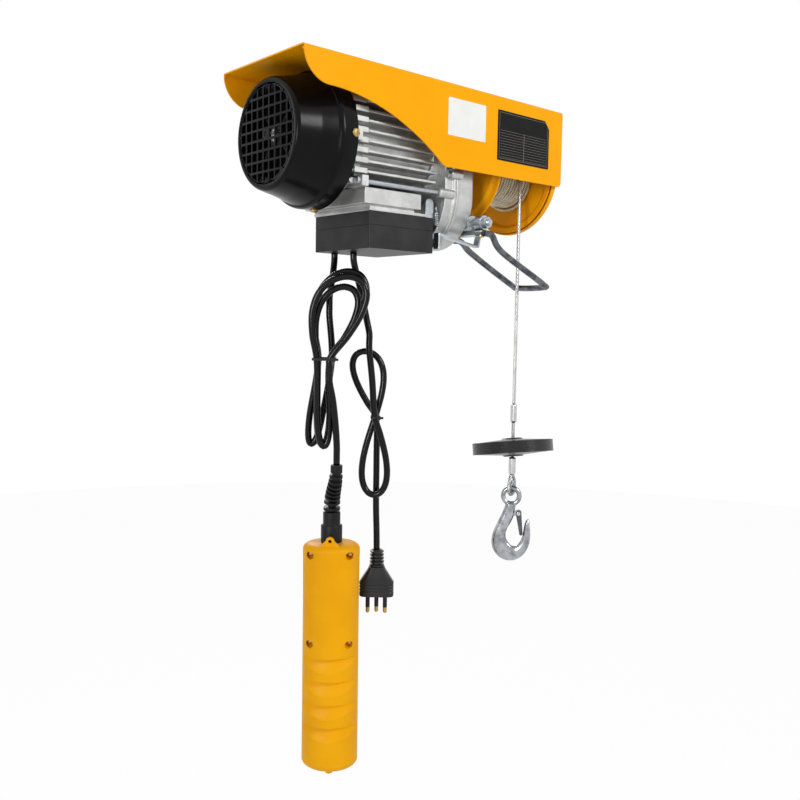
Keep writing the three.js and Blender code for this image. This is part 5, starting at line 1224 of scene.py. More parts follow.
@dataclass
class Gearbox(Assembly):
    """The two castings of the gearbox with their bolts, turned over a long round outline."""

    drop: float = 40.5
    neck: tuple = ((-4, 0), (-4, 50), (12, 50), (12, 0))
    cover: tuple = ((10, 1), (10, 54), (20.3, 54), (20.3, 56.4), (23.9, 56.4), (23.9, 1))
    housing: tuple = ((24.2, 1), (24.2, 56.4), (27.8, 56.4), (27.8, 54), (50, 54), (55, 50), (55, 1))
    output_ring: tuple = ((54, 14), (56.4, 15), (56.4, 21), (54, 22.5))
    arm_boss: tuple = ((-45, 0), (-45, 8.9), (-4, 8.9), (-4, 0))
    bolts: tuple = ((-39.4, 39.4), (39.4, 39.4), (-55.7, -20), (55.7, -20), (-26, -90), (26, -90))

    def long_round(self, profile: np.ndarray) -> Shell:
        """A profile of (x, radius) round two centres, one below the other, with straight sides between."""
        angle = np.concatenate([np.linspace(0, math.pi, 61), np.linspace(math.pi, TURN, 61)])
        drop = np.concatenate([np.zeros(61), np.full(61, self.drop)])
        y = profile[:, 1, None] * np.cos(angle)
        z = profile[:, 1, None] * np.sin(angle) - drop
        x = np.broadcast_to(profile[:, 0, None], y.shape)
        return grid(np.stack([x, y, z + AXIS_Z], axis=2), around=True)

    def make_castings(self) -> None:
        """The cover with its round neck, and the housing with its lug and the arm's boss."""
        neck = turned(self.neck, Axis.X, (0, 0, AXIS_Z), 96, 1.6)
        body = self.long_round(eased(self.cover, 1.2, 4))
        rod = turned([[-1, 0], [-1, 5], [20.3, 5], [20.3, 0]], Axis.X, (0, -53.4, AXIS_Z - 40.5), 32, 0.5)
        self.piece("gearbox_cover_cast", together(neck, body, rod), Look.CAST, "frame", "gearbox_cover")
        shell = self.long_round(eased(self.housing, 1.2, 4))
        lug = rounded_block((29, -15, AXIS_Z + 48), (49, 15, AXIS_Z + 65.7), 2.5, Axis.Z)
        boss = turned(self.arm_boss, Axis.Y, (62, 0, -134), 40, 0.8)
        web = rounded_block((50, -29, -142), (62, -4, -126), 1.5, Axis.Y)
        ring = turned(self.output_ring, Axis.X, (0, 0, AXIS_Z), 64, 0.6)
        self.piece("gearbox_housing_cast", together(shell, lug, boss, web, ring), Look.CAST, "frame",
                   "gearbox_housing")

    def make_bolts(self) -> None:
        """Bosses round the flange, each with a hexagon head."""
        bosses, heads = [], []
        for y, z in self.bolts:
            bosses.append(turned([[14.5, 0], [14.5, 5.2], [29.5, 5.2], [29.5, 0]], Axis.X, (0, y, AXIS_Z + z),
                                 28, 0.6))
            heads.append(turned([[13.3, 0], [13.3, 4.4], [14.5, 4.4], [14.5, 0]], Axis.X, (0, y, AXIS_Z + z),
                                28, 0.2))
            angle = np.linspace(0, TURN, 6, endpoint=False) + 0.3
            hexagon = 3.9 * np.stack([np.cos(angle), np.sin(angle)], axis=1)
            heads.append(drawn(hexagon, Axis.X, 9.6, 13.4, (0, y, AXIS_Z + z)))
        self.piece("gearbox_bosses", together(*bosses), Look.CAST, "frame", bevel=0.3)
        self.piece("gearbox_bolts", together(*heads), Look.ZINC, "frame", bevel=0.3)

    def build(self) -> None:
        """Makes the castings and their bolts."""
        self.make_castings()
        self.make_bolts()


@dataclass
class Motor(Assembly):
    """Finned motor, end bell, fan cover with its grille, and the tie rod."""

    start: float = -175.0
    end: float = -115.4
    radius: float = 65.5
    wall: float = 1.5
    grille_radius: float = 45.8
    squares: int = 9
    pitch: float = 9.9
    bar: float = 2.2
    screw_x: float = -118.6
    teeth: int = 9
    first_tooth: float = -40.5
    tooth_pitch: float = 9.5
    tooth: float = 5.2

    def cover_profile(self, inset: float) -> list[list[float]]:
        """The cap's outline from the grille's edge to its open end, drawn in by an inset."""
        front = [[self.start + inset, self.grille_radius], [self.start + inset, 50.6 - inset / 2],
                 [self.start + 2.4, 52.6 - inset],
                 [-151, 57.4 - inset], [-134.6, 62.6 - inset]]
        return front + [[-134.6, 64 - inset], [-131.4, 65.5 - inset], [self.end, 65.5 - inset]]

    def make_cover(self) -> None:
        """The flared cap as a turned wall, and the grille's crossing bars, each as long as its chord."""
        outer = eased(np.array(self.cover_profile(0)), 1.3, 5)
        inner = eased(np.array(self.cover_profile(self.wall))[::-1], 0.8, 3)
        shell = turned(np.vstack([outer, inner, outer[:1]]), Axis.X, (0, 0, AXIS_Z), 144)
        bars = []
        half = self.bar / 2
        for k in range(self.squares + 1):
            at = (k - self.squares / 2) * self.pitch
            reach = math.sqrt(max(self.grille_radius ** 2 - (abs(at) - half) ** 2, 1)) + 0.6
            x0, x1 = self.start, self.start + 2.0
            bars.append(rounded_block((x0 + 0.05, at - half, AXIS_Z - reach), (x1, at + half, AXIS_Z + reach),
                                      0.35, Axis.Z))
            bars.append(rounded_block((x0, -reach, AXIS_Z + at - half),
                                      (x1 - 0.05, reach, AXIS_Z + at + half), 0.35, Axis.Y))
        low, high, back = self.grille_radius - 1, self.grille_radius + 1, self.start + 2.4
        ring = turned([[self.start, low], [self.start, high], [back, high], [back, low], [self.start, low]],
                      Axis.X, (0, 0, AXIS_Z), 144)
        hub = turned([[self.start + 2.2, 0], [self.start + 2.2, 5.2], [self.start + 0.2, 5.2],
                      [self.start - 0.1, 3.4],
                      [self.start + 0.6, 2.4], [self.start + 0.6, 0]], Axis.X, (0, 0, AXIS_Z), 36, 0.3)
        self.piece("fan_cover_cap", together(shell, ring, hub, *bars), Look.COVER_BLACK, "frame", "fan_cover")

    def make_screws(self) -> None:
        """Pan heads with a cross recess on the cap's front, back and under side."""
        head = turned([[65.4, 0], [65.4, 4.2], [66.6, 4.0], [67.7, 2.6], [68.0, 0]], Axis.Z, (0, 0, 0), 32,
                      0.4)
        for name, tilt, nodes in (("front", 90.0, ("cover_screw",)), ("back", -90.0, ()),
                                  ("under", 180.0, ())):
            shell = head.moved(turn_about(Axis.X, tilt), (self.screw_x, 0, AXIS_Z))
            made = to_mesh(f"cover_screw_{name}", shell)
            slots = [rounded_block((-0.45, -2.0, 67.0), (0.45, 2.0, 69), 0.1),
                     rounded_block((-2.0, -0.45, 67.0), (2.0, 0.45, 69), 0.1)]
            cut(made, *[s.moved(turn_about(Axis.X, tilt), (self.screw_x, 0, AXIS_Z)) for s in slots])
            bevelled(made, 0.12)
            self.dress(made, Look.BRASS, "frame", *nodes)

    def make_teeth(self) -> None:
        """Blocks on the end bell in line with the fins, out to a circle held by the flat sides."""
        teeth = []
        for number in range(self.teeth):
            z = self.first_tooth + number * self.tooth_pitch
            root, tip = math.sqrt(46.0 ** 2 - z * z), min(57.2, math.sqrt(64.0 ** 2 - z * z))
            half = self.tooth / 2
            for low, high in ((-tip, -root), (root, tip)):
                teeth.append(rounded_block((-112.0, low, AXIS_Z + z - half), (-96.4, high, AXIS_Z + z + half),
                                           0.6, Axis.X))
        self.piece("end_bell_teeth", together(*teeth), Look.CAST, "frame", bevel=0.3)

    def build(self) -> None:
        """Makes the cap and its screws, and rounds the castings."""
        self.make_cover()
        self.make_screws()
        self.make_teeth()
        self.softened("motor_body", Look.CAST, 0.5)
        self.softened("end_bell", Look.CAST, 0.45)
        self.softened("tie_rod", Look.ZINC, 0.3)


@dataclass
class TerminalBox(Assembly):
    """The black box under the motor, its glands, the switch plunger and the spring's bracket."""

    gland_places: tuple = ((-70.0, 30.0, "pendant_gland"), (-64.0, 5.0, "mains_gland"))

    def build(self) -> None:
        """Rounds the box's halves and makes its glands."""
        self.softened("terminal_box", Look.BOX_BLACK, 0.8, 50)
        self.softened("terminal_box_lid", Look.BOX_BLACK, 0.8, 50)
        self.softened("switch_plunger", Look.RUBBER, 0.2)
        self.softened("switch_bracket", Look.ZINC, 0.3)
        for x, y, node in self.gland_places:
            collar = turned([[-170.1, 0], [-170.1, 6.0], [-167, 6.1], [-167, 9], [-163, 9], [-163, 0]],
                            Axis.Z, (x, y, 0), 40, 0.4)
            self.piece(f"{node}_collar", collar, Look.RUBBER, "frame", node)


@dataclass
class LimitArm(Assembly):
    """The sprung arm that the stop disc lifts: sleeve, saddle, bail, striker strip and spring."""

    pivot: tuple = (62.0, 0.0, -134.0)
    bail_radius: float = 3.5
    route: tuple = ((-6, -65.9, 11.6), (4, -65.9, 12.2), (8.5, -66.3, 14.6), (24, -67, 30.5), (92, -67, 60.6),
                    (101, -62, 65),
                    (101, -24, 65), (92, -19, 60.6), (26, -19, 29.7), (9, -19, 18), (-3, -19, 16.6))
    spring_top: tuple = (-57.2, -45.4, 12.5)
    spring_bottom: tuple = (-55.0, -45.4, -12.6)
    wire: float = 0.9
    coil: float = 2.2
    curls: int = 7
    pitch: float = 2.0
    screw_places: tuple = ((0.5, -56.5), (0.5, -20.5))

    def make_bail(self) -> None:
        """The bent rod: a tube along the smooth line through the route."""
        knots = np.asarray(self.route, float) * np.array([1, 1, -1]) + np.array(self.pivot)
        path = even(spline(knots, 14, 0.0), 1.4)
        self.piece("bail_rod", tube(path, self.bail_radius, 24, (0, 0, 1)), Look.ROD_ZINC, "limit_arm",
                   "bail")

    def make_spring(self) -> None:
        """The return spring: a helix about the line from its top to its bottom, with straight ends."""
        top, bottom = np.array(self.spring_top), np.array(self.spring_bottom)
        axis = (bottom - top) / np.linalg.norm(bottom - top)
        across = np.array([0, 1.0, 0])
        side = np.cross(axis, across)
        coil = self.curls * self.pitch
        lead = (np.linalg.norm(bottom - top) - coil) / 2
        angle = np.linspace(0, TURN * self.curls, self.curls * 20 + 1)[:, None]
        out = across * np.sin(angle) + side * np.cos(angle)
        helix = top + axis * (lead + coil * angle / (TURN * self.curls)) + self.coil * out
        path = np.vstack([top, top + axis * (lead - 1.8), helix, bottom - axis * (lead - 1.8),
                          bottom]) + np.array(self.pivot)
        reference = np.vstack([out[:1], out[:1], out, out[-1:], out[-1:]])
        self.piece("return_spring_coil", tube(path, self.wire / 2, 10, reference), Look.ZINC, "limit_arm",
                   "return_spring")

    def make_screws(self) -> None:
        """Two brass screws that hold the strip to the saddle, their heads below."""
        x0, _, z0 = self.pivot
        for number, (x, y) in enumerate(self.screw_places):
            head = turned([[-15.6, 0], [-15.4, 2.6], [-14.4, 3.6], [-12.4, 3.7], [-12.4, 0]], Axis.Z,
                          (x0 + x, y, z0), 28, 0.3)
            self.piece(f"saddle_screw_{number + 1}", head, Look.BRASS, "limit_arm")

    def make_bolt(self) -> None:
        """The pivot's shank with a washer, a hexagon nut and the thread's end."""
        washer = turned([[-62, 0], [-62, 7.8], [-60.1, 7.8], [-60.1, 0]], Axis.Y, self.pivot, 40, 0.3)
        angle = np.linspace(0, TURN, 6, endpoint=False) + 0.2
        nut = drawn(6.3 * np.stack([np.cos(angle), np.sin(angle)], axis=1), Axis.Y, -67, -62, self.pivot)
        along = np.arange(-70.2, -66.8, 0.3)
        thread = np.stack([along, 3.2 + 0.22 * np.sin(TURN * along / 1.2)], axis=1)
        end = turned(np.vstack([[[-70.2, 0]], thread, [[-66, 3.0]], [[-66, 0]]]), Axis.Y, self.pivot, 28)
        shank = turned([[-60.2, 0], [-60.2, 4.0], [-17, 4.0], [-17, 0]], Axis.Y, self.pivot, 28)
        self.piece("pivot_bolt_nut", together(washer, nut, end, shank), Look.ZINC, self.body("pivot_bolt"),
                   "pivot_bolt", bevel=0.3)

    def build(self) -> None:
        """Makes the bail, the spring, the screws and the bolt, and rounds the rest."""
        self.make_bail()
        self.make_spring()
        self.make_screws()
        self.make_bolt()
        self.softened("limit_lever", Look.ZINC, 0.4)
        self.softened("striker_strip", Look.ZINC, 0.3)


@dataclass
class RopeEnd(Assembly):
    """Ferrules, rubber stop disc, rope loop and thimble at the end of the fall."""

    x: float = FALL_X
    y: float = FALL_Y
    upper: tuple = (-357.0, -336.0, 4.0)
    lower: tuple = (-419.0, -399.4, 4.5)
    disc_depth: float = 387.0
    disc: tuple = ((-11, 5.5), (-11, 11.2), (-9.4, 12.2), (-9.0, 17), (-7, 43), (-7, 47.5), (-4, 47.5))
    ridge: float = 1.5
    tilt_across: float = 9.0
    tilt_side: float = 4.5
    loop_half: float = 8.1
    loop_neck: float = 2.3
    loop_length: float = 24.6
    loop_turn: float = 15.0
    rope_radius: float = 1.9

    def make_fall(self) -> None:
        """The free fall of rope, from the drum down to the hook, baked in place on no body."""
        low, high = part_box("rope_fall")
        start, end = (np.array([self.x, self.y, corner.z / MM]) for corner in (high, low))
        made = to_mesh("rope_fall_strands",
                       tube(even(np.stack([start, end]), 1.5), self.rope_radius, 20, (0, 1, 0)))
        levelled(made)
        self.paint(made, Look.FALL, "rope_fall")
        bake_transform(made)
        LOG.info("%s between frame and hook_load", made.name)

    def make_ferrules(self) -> None:
        """Pressed sleeves: tubes of radius 1.04 + 0.1 cos 2u, with a groove down each broad face."""
        around = np.linspace(0, TURN, 60, endpoint=False) - math.radians(48)
        oval = 1.04 + 0.1 * np.cos(2 * around) - 0.12 * np.exp(-(np.cos(around) / 0.16) ** 2)
        for name, (low, high, radius), node in (("upper", self.upper, "upper_ferrule"),
                                                ("lower", self.lower, "lower_ferrule")):
            profile = [[low, 0], [low, radius - 0.5], [low + 1.2, radius], [high - 1.2, radius],
                       [high, radius - 0.5], [high, 0]]
            shell = turned(profile, Axis.Z, (self.x, self.y, 0), 60, 0.5, scallop=oval)
            self.piece(f"{name}_ferrule_sleeve", shell, Look.BRIGHT, "hook_load", node)

    def make_disc(self) -> None:
        """The stop disc: two flat cones with raised hubs and a rim of fine ridges, tilted on the rope."""
        half = eased(np.array(self.disc, float), 1.3, 5)[:-1]
        rim = np.linspace(-5.2, 5.2, 71)
        ridges = np.stack([rim, 47.5 - 0.2 * (1 - np.cos(TURN * rim / self.ridge))], axis=1)
        outer = np.vstack([half, ridges, half[::-1] * np.array([-1, 1])])
        bore = np.array([[0, 2.35]])
        shell = turned(np.vstack([outer, bore, outer[:1]]), Axis.Z, (0, 0, 0), 112)
        tilt = turn_about(Axis.Y, -self.tilt_side) @ turn_about(Axis.X, -self.tilt_across)
        turn = turn_about(Axis.Z, Hanging.turn) @ tilt
        self.piece("stop_disc_rubber", shell.moved(turn, (self.x, self.y, -self.disc_depth)),
                   Look.PALE_RUBBER, "hook_load", "stop_disc")

    def make_loop(self) -> None:
        """The rope's loop: a tube along a drop shape that hangs below the lower ferrule."""
        half, neck, length = self.loop_half, self.loop_neck, self.loop_length
        low = half - length
        t = np.linspace(0, 1, 14)[:, None]
        leg = np.vstack([[neck, 0],
                         (1 - t) ** 2 * np.array([neck, -1.5]) + 2 * t * (1 - t) * np.array([half, (low) / 2])
                         + t ** 2 * np.array([half, low])])
        angle = np.linspace(0, -math.pi, 30)[1:-1, None]
        arc = np.array([0, low]) + half * np.hstack([np.cos(angle), np.sin(angle)])
        line = np.vstack([leg, arc, leg[::-1] * np.array([-1, 1])])
        path = even(np.stack([line[:, 0], np.zeros(len(line)), line[:, 1]], axis=1), 0.7)
        shell = tube(path, self.rope_radius, 14, (0, 1, 0)).moved(turn_about(Axis.Z, self.loop_turn),
                                                                  (self.x, self.y, -419.3))
        self.piece("rope_loop_strands", shell, Look.ROPE, "hook_load", "rope_loop")
        link = np.array([[self.x, self.y, -357.2], [self.x, self.y, -378.0], [self.x, self.y, -399.2]])
        self.piece("rope_link_strands", tube(even(link, 2.0), self.rope_radius, 14, (0, 1, 0)), Look.ROPE,
                   "hook_load", "rope_link")

    def build(self) -> None:
        """Makes the rope's fall and its end."""
        self.make_fall()
        self.make_ferrules()
        self.make_disc()
        self.make_loop()
        self.softened("thimble", Look.ZINC, 0.25)


@dataclass
class Hook(Assembly):
    """The forged hook with its eye, lug and sprung latch."""

    x: float = FALL_X
    y: float = FALL_Y
    z: float = -445.4
    yaw: float = -50.0
    width: float = 46.3
    drop: float = 78.3
    thickness: float = 9.0
    eye_radius: float = 9.5
    eye_section: float = 3.0
    lug: tuple = (9.2, -20.5)
    outer: tuple = ((-0.13, 0.12), (-0.22, 0.26), (-0.34, 0.42), (-0.448, 0.58), (-0.482, 0.71),
                    (-0.44, 0.83), (-0.315, 0.935),
                    (-0.13, 0.995), (0.08, 0.998), (0.27, 0.945), (0.41, 0.85), (0.49, 0.73), (0.516, 0.6),
                    (0.5, 0.47),
                    (0.485, 0.385), (0.458, 0.345))
    inner: tuple = ((0.13, 0.12), (0.11, 0.19), (0.095, 0.26), (0.06, 0.34), (0, 0.42), (-0.08, 0.51),
                    (-0.115, 0.62), (-0.055, 0.71),
                    (0.05, 0.768), (0.15, 0.765), (0.25, 0.7), (0.318, 0.58), (0.345, 0.47), (0.37, 0.4),
                    (0.405, 0.352))

    def placed(self, shell: Shell) -> Shell:
        """A shell made in the hook's own plane, put under the thimble."""
        return shell.moved(turn_about(Axis.Z, self.yaw), (self.x, self.y, self.z))

    def forging(self) -> Shell:
        """The hook's body: at each share of its length an oval spans the outer and the inner line."""
        scale = np.array([self.width, -self.drop])
        share = np.linspace(0, 1, 90)
        lines = []
        for shares in (self.outer, self.inner):
            line = spline(np.asarray(shares, float) * scale, 10)
            way = walked(line) / walked(line)[-1]
            lines.append(np.stack([np.interp(share, way, line[:, k]) for k in range(2)], axis=1))
        middle, half = (lines[0] + lines[1]) / 2, (lines[0] - lines[1]) / 2
        angle = np.linspace(0, TURN, 28, endpoint=False)
        wide = np.sign(np.cos(angle)) * np.abs(np.cos(angle)) ** 0.85
        deep = np.sign(np.sin(angle)) * np.abs(np.sin(angle)) ** 0.85
        point = np.clip((1 - share) * 14 + 0.45, 0, 1)
        thick = self.thickness / 2 * (0.94 + 0.1 * np.sin(math.pi * share)) * point
        flat = middle[:, None] + half[:, None] * wide[None, :, None]
        points = np.stack([flat[..., 0], thick[:, None] * deep[None], flat[..., 1]], axis=2)
        return grid(points, around=True, capped=True)

    def build(self) -> None:
        """Forges the hook from its body, eye and lug, smoothed into one, and rounds the latch."""
        angle = np.linspace(0, TURN, 48, endpoint=False)
        round_angle = np.linspace(0, TURN, 16, endpoint=False)
        ring = self.eye_radius + self.eye_section * np.cos(round_angle)[None, :]
        eye = grid(np.stack([ring * np.cos(angle)[:, None],
                             np.broadcast_to(self.eye_section * np.sin(round_angle)[None, :], (48, 16)),
                             ring * np.sin(angle)[:, None]], axis=2), around=True, closed=True)
        lug = turned([[-2, 0], [-2, 3.2], [2, 3.2], [2, 0]], Axis.Y, (self.lug[0], 0, self.lug[1]), 32, 0.3)
        arm = rounded_block((0, -2, self.lug[1] - 3.2), (self.lug[0], 2, self.lug[1] + 3.2), 0.4, Axis.X)
        made = to_mesh("hook_forging", self.placed(together(self.forging(), eye, lug, arm)))
        melt = made.modifiers.new("Melt", "REMESH")
        melt.mode = "VOXEL"
        melt.voxel_size = 0.55 * MM
        relax = made.modifiers.new("Relax", "SMOOTH")
        relax.factor, relax.iterations = 0.5, 7
        settled(made)
        made.data.polygons.foreach_set("use_smooth", np.ones(len(made.data.polygons), bool))
        self.dress(made, Look.FORGED, "hook", "hook")
        pin = turned([[-5.2, 0], [-5.2, 2.2], [-4.2, 2.2], [-4.2, 1.5], [4.2, 1.5], [4.2, 2.2], [5.2, 2.2],
                      [5.2, 0]], Axis.Y,
                     (self.lug[0], 0, self.lug[1]), 24, 0.25)
        self.piece("latch_pin", self.placed(pin), Look.BRIGHT, "hook")
        self.softened("hook_latch", Look.DARK_STEEL, 0.4)


@dataclass
class Handset(Assembly):
    """The pendant handset: shells with finger grips, screws in recesses, buttons and its ribbed relief."""

    place: Hanging = Hanging(-70, 30)
    across: float = 1.8
    towards: float = 24.0
    top: float = 475.0
    length: float = 244.0
    half_width: float = 30.2
    half_depth: float = 25.5
    edge: float = 6.0
    grips: int = 4
    grip_top: float = 119.5
    grip_pitch: float = 24.9
    grip_height: float = 15.3
    grip_depth: float = 4.5
    recess_radius: float = 4.2
    recess_places: tuple = ((-20.6, 10.5), (20.6, 10.5), (-20.6, 105.5), (20.6, 105.5))

    def put(self, shell: Shell) -> Shell:
        """A shell made about the handset's top centre, with -Y towards the viewer, put in its place."""
        return self.place.carried(shell.moved(np.eye(3), (self.across, -self.towards, -self.top)))

    def body(self, *_: Any) -> str:
        """The body that the handset's fixed pieces ride on."""
        return "frame"

    def shells(self) -> Shell:
        """Both shells: an oval with rounded ends, a shallow joint line and four scoops on the near side.

        Each scoop starts at a ledge across the near side, where the surface goes in by depth q (1 - p^2)
        and comes back out over height q: p is the share of that height, and q is sqrt(1 - (s / 0.94)^2),
        with s the share of the half width from the middle.
        """
        rise = np.array([[0, self.half_width - 9], [-1.2, self.half_width - 4.2],
                         [-3.4, self.half_width - 1.3], [-self.edge, self.half_width]])
        near_ledge = np.array([[-0.2, 0.15, 0.5, 0.85, 1.2, 1.5]])
        ledges = self.grip_top + self.grip_pitch * np.arange(self.grips)[:, None] + near_ledge
        down_rows = -np.sort(np.concatenate([np.linspace(self.edge, self.length - self.edge, 250),
                                             ledges.ravel()]))
        share = np.interp(-down_rows, [0, 60, 110, 244], [1.0, 0.985, 0.99, 1.0])
        middle = np.stack([down_rows, self.half_width * share], axis=1)
        low = rise[::-1] * np.array([-1, 1]) + np.array([-self.length, 0])
        line = np.vstack([[[0, 0]], rise[:-1], middle, low[1:], [[-self.length, 0]]])
        z, radius = line[:, 0], line[:, 1]
        base = np.linspace(0, TURN, 120, endpoint=False)
        seam = np.array([-0.022, -0.012, 0.012, 0.022])
        angle = np.sort(np.concatenate([base[1:60], base[61:], np.mod(seam, TURN), math.pi + seam]))
        groove = np.where((np.abs(np.sin(angle)) < 0.013), 0.45, 0.0)
        wide = radius[:, None] - groove[None] * (radius[:, None] > 5)
        x = wide * np.cos(angle)[None]
        y = wide * np.sin(angle)[None] * (self.half_depth / self.half_width)
        down = -z[:, None]
        reach = np.sqrt(np.clip(1 - (np.cos(angle)[None] / 0.94) ** 2, 1e-6, 1))
        for number in range(self.grips):
            past = down - self.grip_top - number * self.grip_pitch
            part = np.clip(past / (self.grip_height * reach), 0, 1)
            scoop = smooth_step(past / 1.3) * (1 - part ** 2) * self.grip_depth * reach
            y = np.where(y < 0, y + scoop, y)
        return grid(np.stack([x, y, np.broadcast_to(z[:, None], x.shape)], axis=2), around=True)

    def make_shells(self) -> None:
        """Cuts the recesses and the buttons' bores, and adds the hanging tab and the nub."""
        made = to_mesh("handset_shells", self.put(self.shells()))
        recesses = [turned([[-32, 0], [-32, self.recess_radius], [-9.5, self.recess_radius - 0.3], [-9.5, 0]],
                           Axis.Y, (x, 0, -down), 32)
                    for x, down in self.recess_places]
        bores = [turned([[17, 0], [17, r], [40, r], [40, 0]], Axis.Y, (0, 0, -down), 48) for down,
                 r in ((66, 9), (96, 9), (32, 7))]
        cut(made, *[self.put(s) for s in recesses + bores])
        made.data.polygons.foreach_set("use_smooth", np.ones(len(made.data.polygons), bool))
        bevelled(made, 0.35, 42)
        self.dress(made, Look.HANDSET, "frame", "handset_back_shell", "handset_front_shell")
        angle = np.linspace(0, math.pi, 17)
        loop = np.vstack([[[-11, -1.5]], [[11, -1.5]], [[5.2, 5]],
                          np.stack([4.6 * np.cos(angle), 5 + 4.6 * np.sin(angle)], axis=1), [[-5.2, 5]]])
        tab = to_mesh("handset_tab", self.put(drawn(loop[:, ::-1], Axis.Y, -20.5, -17.6)))
        cut(tab, self.put(turned([[-30, 0], [-30, 1.8], [-10, 1.8], [-10, 0]], Axis.Y, (0, 0, 5), 24)))
        bevelled(tab, 0.5)
        self.dress(tab, Look.HANDSET, "frame")
        nub = turned([[1 - self.length, 0], [1 - self.length, 5.6], [-self.length - 5, 4.8],
                      [-self.length - 8, 3.6], [-self.length - 8, 0]],
                     Axis.Z, (0, -6, 0), 32, 1.2)
        self.piece("handset_nub", self.put(nub), Look.HANDSET, "frame")
        for number, (x, down) in enumerate(self.recess_places):
            screw = turned([[-11.6, 0], [-11.6, 1.9], [-11.0, 2.5], [-9.4, 2.6], [-9.4, 0]], Axis.Y,
                           (x, 0, -down), 24, 0.3)
            self.piece(f"handset_screw_{number + 1}", self.put(screw), Look.BRASS, "frame")

    def make_buttons(self) -> None:
        """Two round buttons in rubber collars and a mushroom stop button on the far side."""
        for name, down, look in (("up_button", 66, Look.GREEN), ("down_button", 96, Look.GREY)):
            cap = turned([[18, 0], [18, 10.5], [20, 10.5], [20, 8.5], [28.6, 8.5], [29.5, 7.4], [29.2, 0]],
                         Axis.Y, (0, 0, -down), 48, 0.6)
            self.piece(f"{name}_cap", self.put(cap), look, name, name)
            collar = turned([[25.0, 8.8], [25.0, 11.6], [26.6, 11.2], [27.2, 9.4], [27.0, 8.8]], Axis.Y,
                            (0, 0, -down), 48, 0.4)
            self.piece(f"{name}_collar", self.put(collar), Look.RUBBER, "frame")
        stop = turned([[18, 0], [18, 10.5], [20, 10.5], [20, 6.5], [30.1, 6.5], [30.1, 11.6], [31.4, 12.5],
                       [35.6, 12.4], [37.9, 9.5],
                       [38.1, 0]], Axis.Y, (0, 0, -32), 64, 0.9)
        self.piece("emergency_stop_cap", self.put(stop), Look.RED, "emergency_stop", "emergency_stop")

    def make_relief(self) -> bpy.types.Object:
        """The ribbed relief: rings along a bent neck that step between core and rib, then a collar."""
        t = np.linspace(0, 1, 320)[:, None]
        a, b = np.array([7.6, 40, 390.0]), np.array([7.6, 40, 416.0])
        c, d = np.array([1.8, 24, 416.0]), np.array([1.8, 24, 442.0])
        bend = (1 - t) ** 3 * a + 3 * t * (1 - t) ** 2 * b + 3 * t * t * (1 - t) * c + t ** 3 * d
        share = (t[:, 0] * 52 - 6) / 46
        period = np.mod(share * 8, 1)
        rib = smooth_step((period - 0.34) / 0.1) * (1 - smooth_step((period - 0.82) / 0.1))
        radius = np.where(share < 0, 6.2 - 1.2 * smooth_step((0.5 - t[:, 0] * 52) / 1.5),
                          4.3 + (2.5 + 2.2 * share) * rib)
        collar = np.array([[1.8, 24, 442.4], [1.8, 24, 443], [1.8, 24, 455.4], [1.8, 24, 456.2],
                           [1.8, 24, 457], [1.8, 24, 474.0], [1.8, 24, 474.7]])
        path = self.place.place(np.vstack([bend, collar]))
        radii = np.concatenate([radius, [8.4, 9.2, 9.2, 9.0, 11.4, 11.4, 10.6]])
        shell = tube(path, radii, 40, self.place.depth_axis())
        return self.piece("relief_ribs", shell, Look.RUBBER, "frame", "handset_strain_relief")

    def build(self) -> bpy.types.Object:
        """Makes the handset and gives the relief, which hangs on the cord."""
        self.make_shells()
        self.make_buttons()
        return self.make_relief()


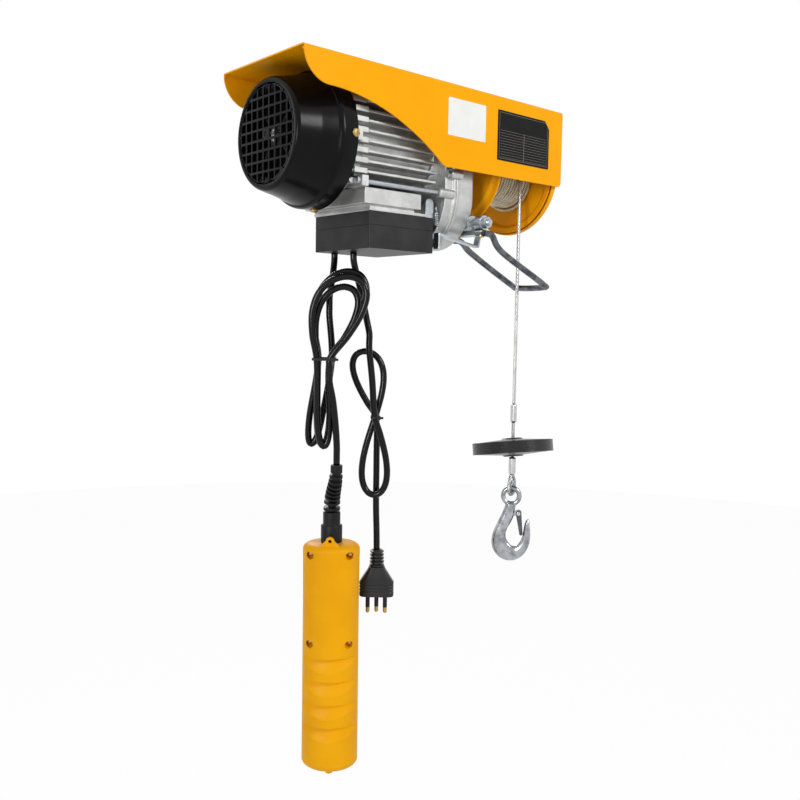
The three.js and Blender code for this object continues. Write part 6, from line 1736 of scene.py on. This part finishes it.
@dataclass
class Plug(Assembly):
    """The moulded plug with a ribbed relief and three round pins."""

    place: Hanging = Hanging(-64, 5)
    across: float = 28.2
    towards: float = -18.0
    top: float = 489.3
    ribs: int = 5
    pins: tuple = ((-9.5, 0), (0, 3), (9.5, 0))
    pin: tuple = ((-540.5, 0), (-540.5, 2.2), (-559.3, 2.2), (-560.5, 1.2), (-560.5, 0))
    sleeve: tuple = ((-541.0, 2.1), (-541.0, 2.35), (-554.0, 2.35), (-554.0, 2.1), (-541.0, 2.1))

    def put(self, shell: Shell) -> Shell:
        """A shell made about the plug's own axis, put in its place."""
        return self.place.carried(shell.moved(np.eye(3), (self.across, -self.towards, 0)))

    def build(self) -> list[bpy.types.Object]:
        """Makes the relief, the body and the pins.

        The body's rows are ovals squared by a power of one half, whose half width grows from the neck to the
        shoulder, with three shallow grip lines below it.
        """
        down = np.linspace(0, 1, 120)
        part = np.mod(down * self.ribs, 1)
        ribs = smooth_step((part - 0.28) / 0.12) * (1 - smooth_step((part - 0.74) / 0.12))
        profile = np.stack([-self.top - down * 18.9, 5.2 + (2.2 + 0.8 * down) * ribs], axis=1)
        profile = np.vstack([[[-self.top, 0]], profile, [[-509, 5.2]], [[-509, 0]]])
        relief = turned(profile, Axis.Z, (0, 0, 0), 40)
        z = np.linspace(-508, -541.5, 110)
        wide = np.interp(-z, [508, 511, 525.5, 541.5], [8.6, 9.6, 18.9, 18.9])
        deep = np.interp(-z, [508, 520, 541.5], [6.8, 8.0, 8.0])
        end = np.sqrt(np.clip(1 - (np.clip((-z - 539.0) / 2.5, 0, 1)) ** 2, 0, 1)) * 1.4 - 1.4
        begin = np.sqrt(np.clip(1 - np.clip((509.5 + z) / 1.5, 0, 1) ** 2, 0, 1)) * 1.0 - 1.0
        lines = sum(0.7 * np.exp(-((-z - at) / 0.7) ** 2) for at in (528.5, 532.0, 535.5))
        angle = np.linspace(0, TURN, 72, endpoint=False)
        cross = [np.sign(f(angle)) * np.abs(f(angle)) ** 0.5 for f in (np.cos, np.sin)]
        x = (wide + end + begin - lines)[:, None] * cross[0][None]
        y = (deep + end + begin - lines)[:, None] * cross[1][None]
        body = grid(np.stack([x, y, np.broadcast_to(z[:, None], x.shape)], axis=2), around=True, capped=True)
        shell = self.put(together(relief, body))
        made = [self.piece("plug_body", shell, Look.PALE_RUBBER, "frame", "plug")]
        for number, (x0, y0) in enumerate(self.pins):
            pin = turned(self.pin, Axis.Z, (x0, y0, 0), 28, 0.5)
            sleeve = turned(self.sleeve, Axis.Z, (x0, y0, 0), 28)
            made.append(self.piece(f"plug_pin_{number + 1}", self.put(pin), Look.BRASS, "frame"))
            made.append(self.piece(f"plug_sleeve_{number + 1}", self.put(sleeve), Look.BLACK, "frame"))
        return made


@dataclass
class HiddenParts(Assembly):
    """Finishes of the CAD nodes that stay as they are."""

    looks: dict[str, Look] = field(default_factory=lambda: {
        "intermediate_gear": Look.BRIGHT, "drum_shaft": Look.BRIGHT, "rotor_shaft": Look.BRIGHT,
        "rotor_core": Look.CORE_STEEL, "fan": Look.BLACK, "brake_disc": Look.DARK_STEEL,
        "stator_core": Look.CORE_STEEL,
        "stator_winding": Look.COPPER, "rotor_bearing": Look.BRIGHT, "brake_magnet": Look.DARK_STEEL,
        "capacitor": Look.GREY,
        "limit_switch": Look.GREY})

    def build(self) -> None:
        """Gives each node its material."""
        for node, look in self.looks.items():
            mesh = self.frame["nodes"][node].data
            material = look.value.material()
            if mesh.materials:
                for index in range(len(mesh.materials)):
                    mesh.materials[index] = material
            else:
                mesh.materials.append(material)
            LOG.info("%s dressed in %s", node, material.name)


def main() -> None:
    """Builds the hoist: camera and cords first, then each sub-assembly in order."""
    logging.basicConfig(level=logging.INFO, format="%(name)s: %(message)s")
    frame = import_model()
    studio = Studio()
    studio.place_camera()
    studio.lay_floor()
    studio.light()
    pendant, mains = PendantCord(frame), MainsCord(frame)
    pendant_cord, mains_cord = pendant.build(), mains.build()
    ties = CableTie(frame)
    pendant_tie = ties.build("pendant_tie_band", "pendant_tie", pendant)
    mains_tie = ties.build("mains_tie_band", "mains_tie", mains)
    handset = Handset(frame).build()
    plug = Plug(frame).build()
    pendant.declare(pendant_cord, [pendant_tie, handset])
    mains.declare(mains_cord, [mains_tie, *plug])
    for part in (Canopy, DrumEnd, Gearbox, Motor, TerminalBox, LimitArm, RopeEnd, Hook, HiddenParts):
        part(frame).build()
        LOG.info("%s done", part.__name__)


if __name__ == "__main__":
    main()
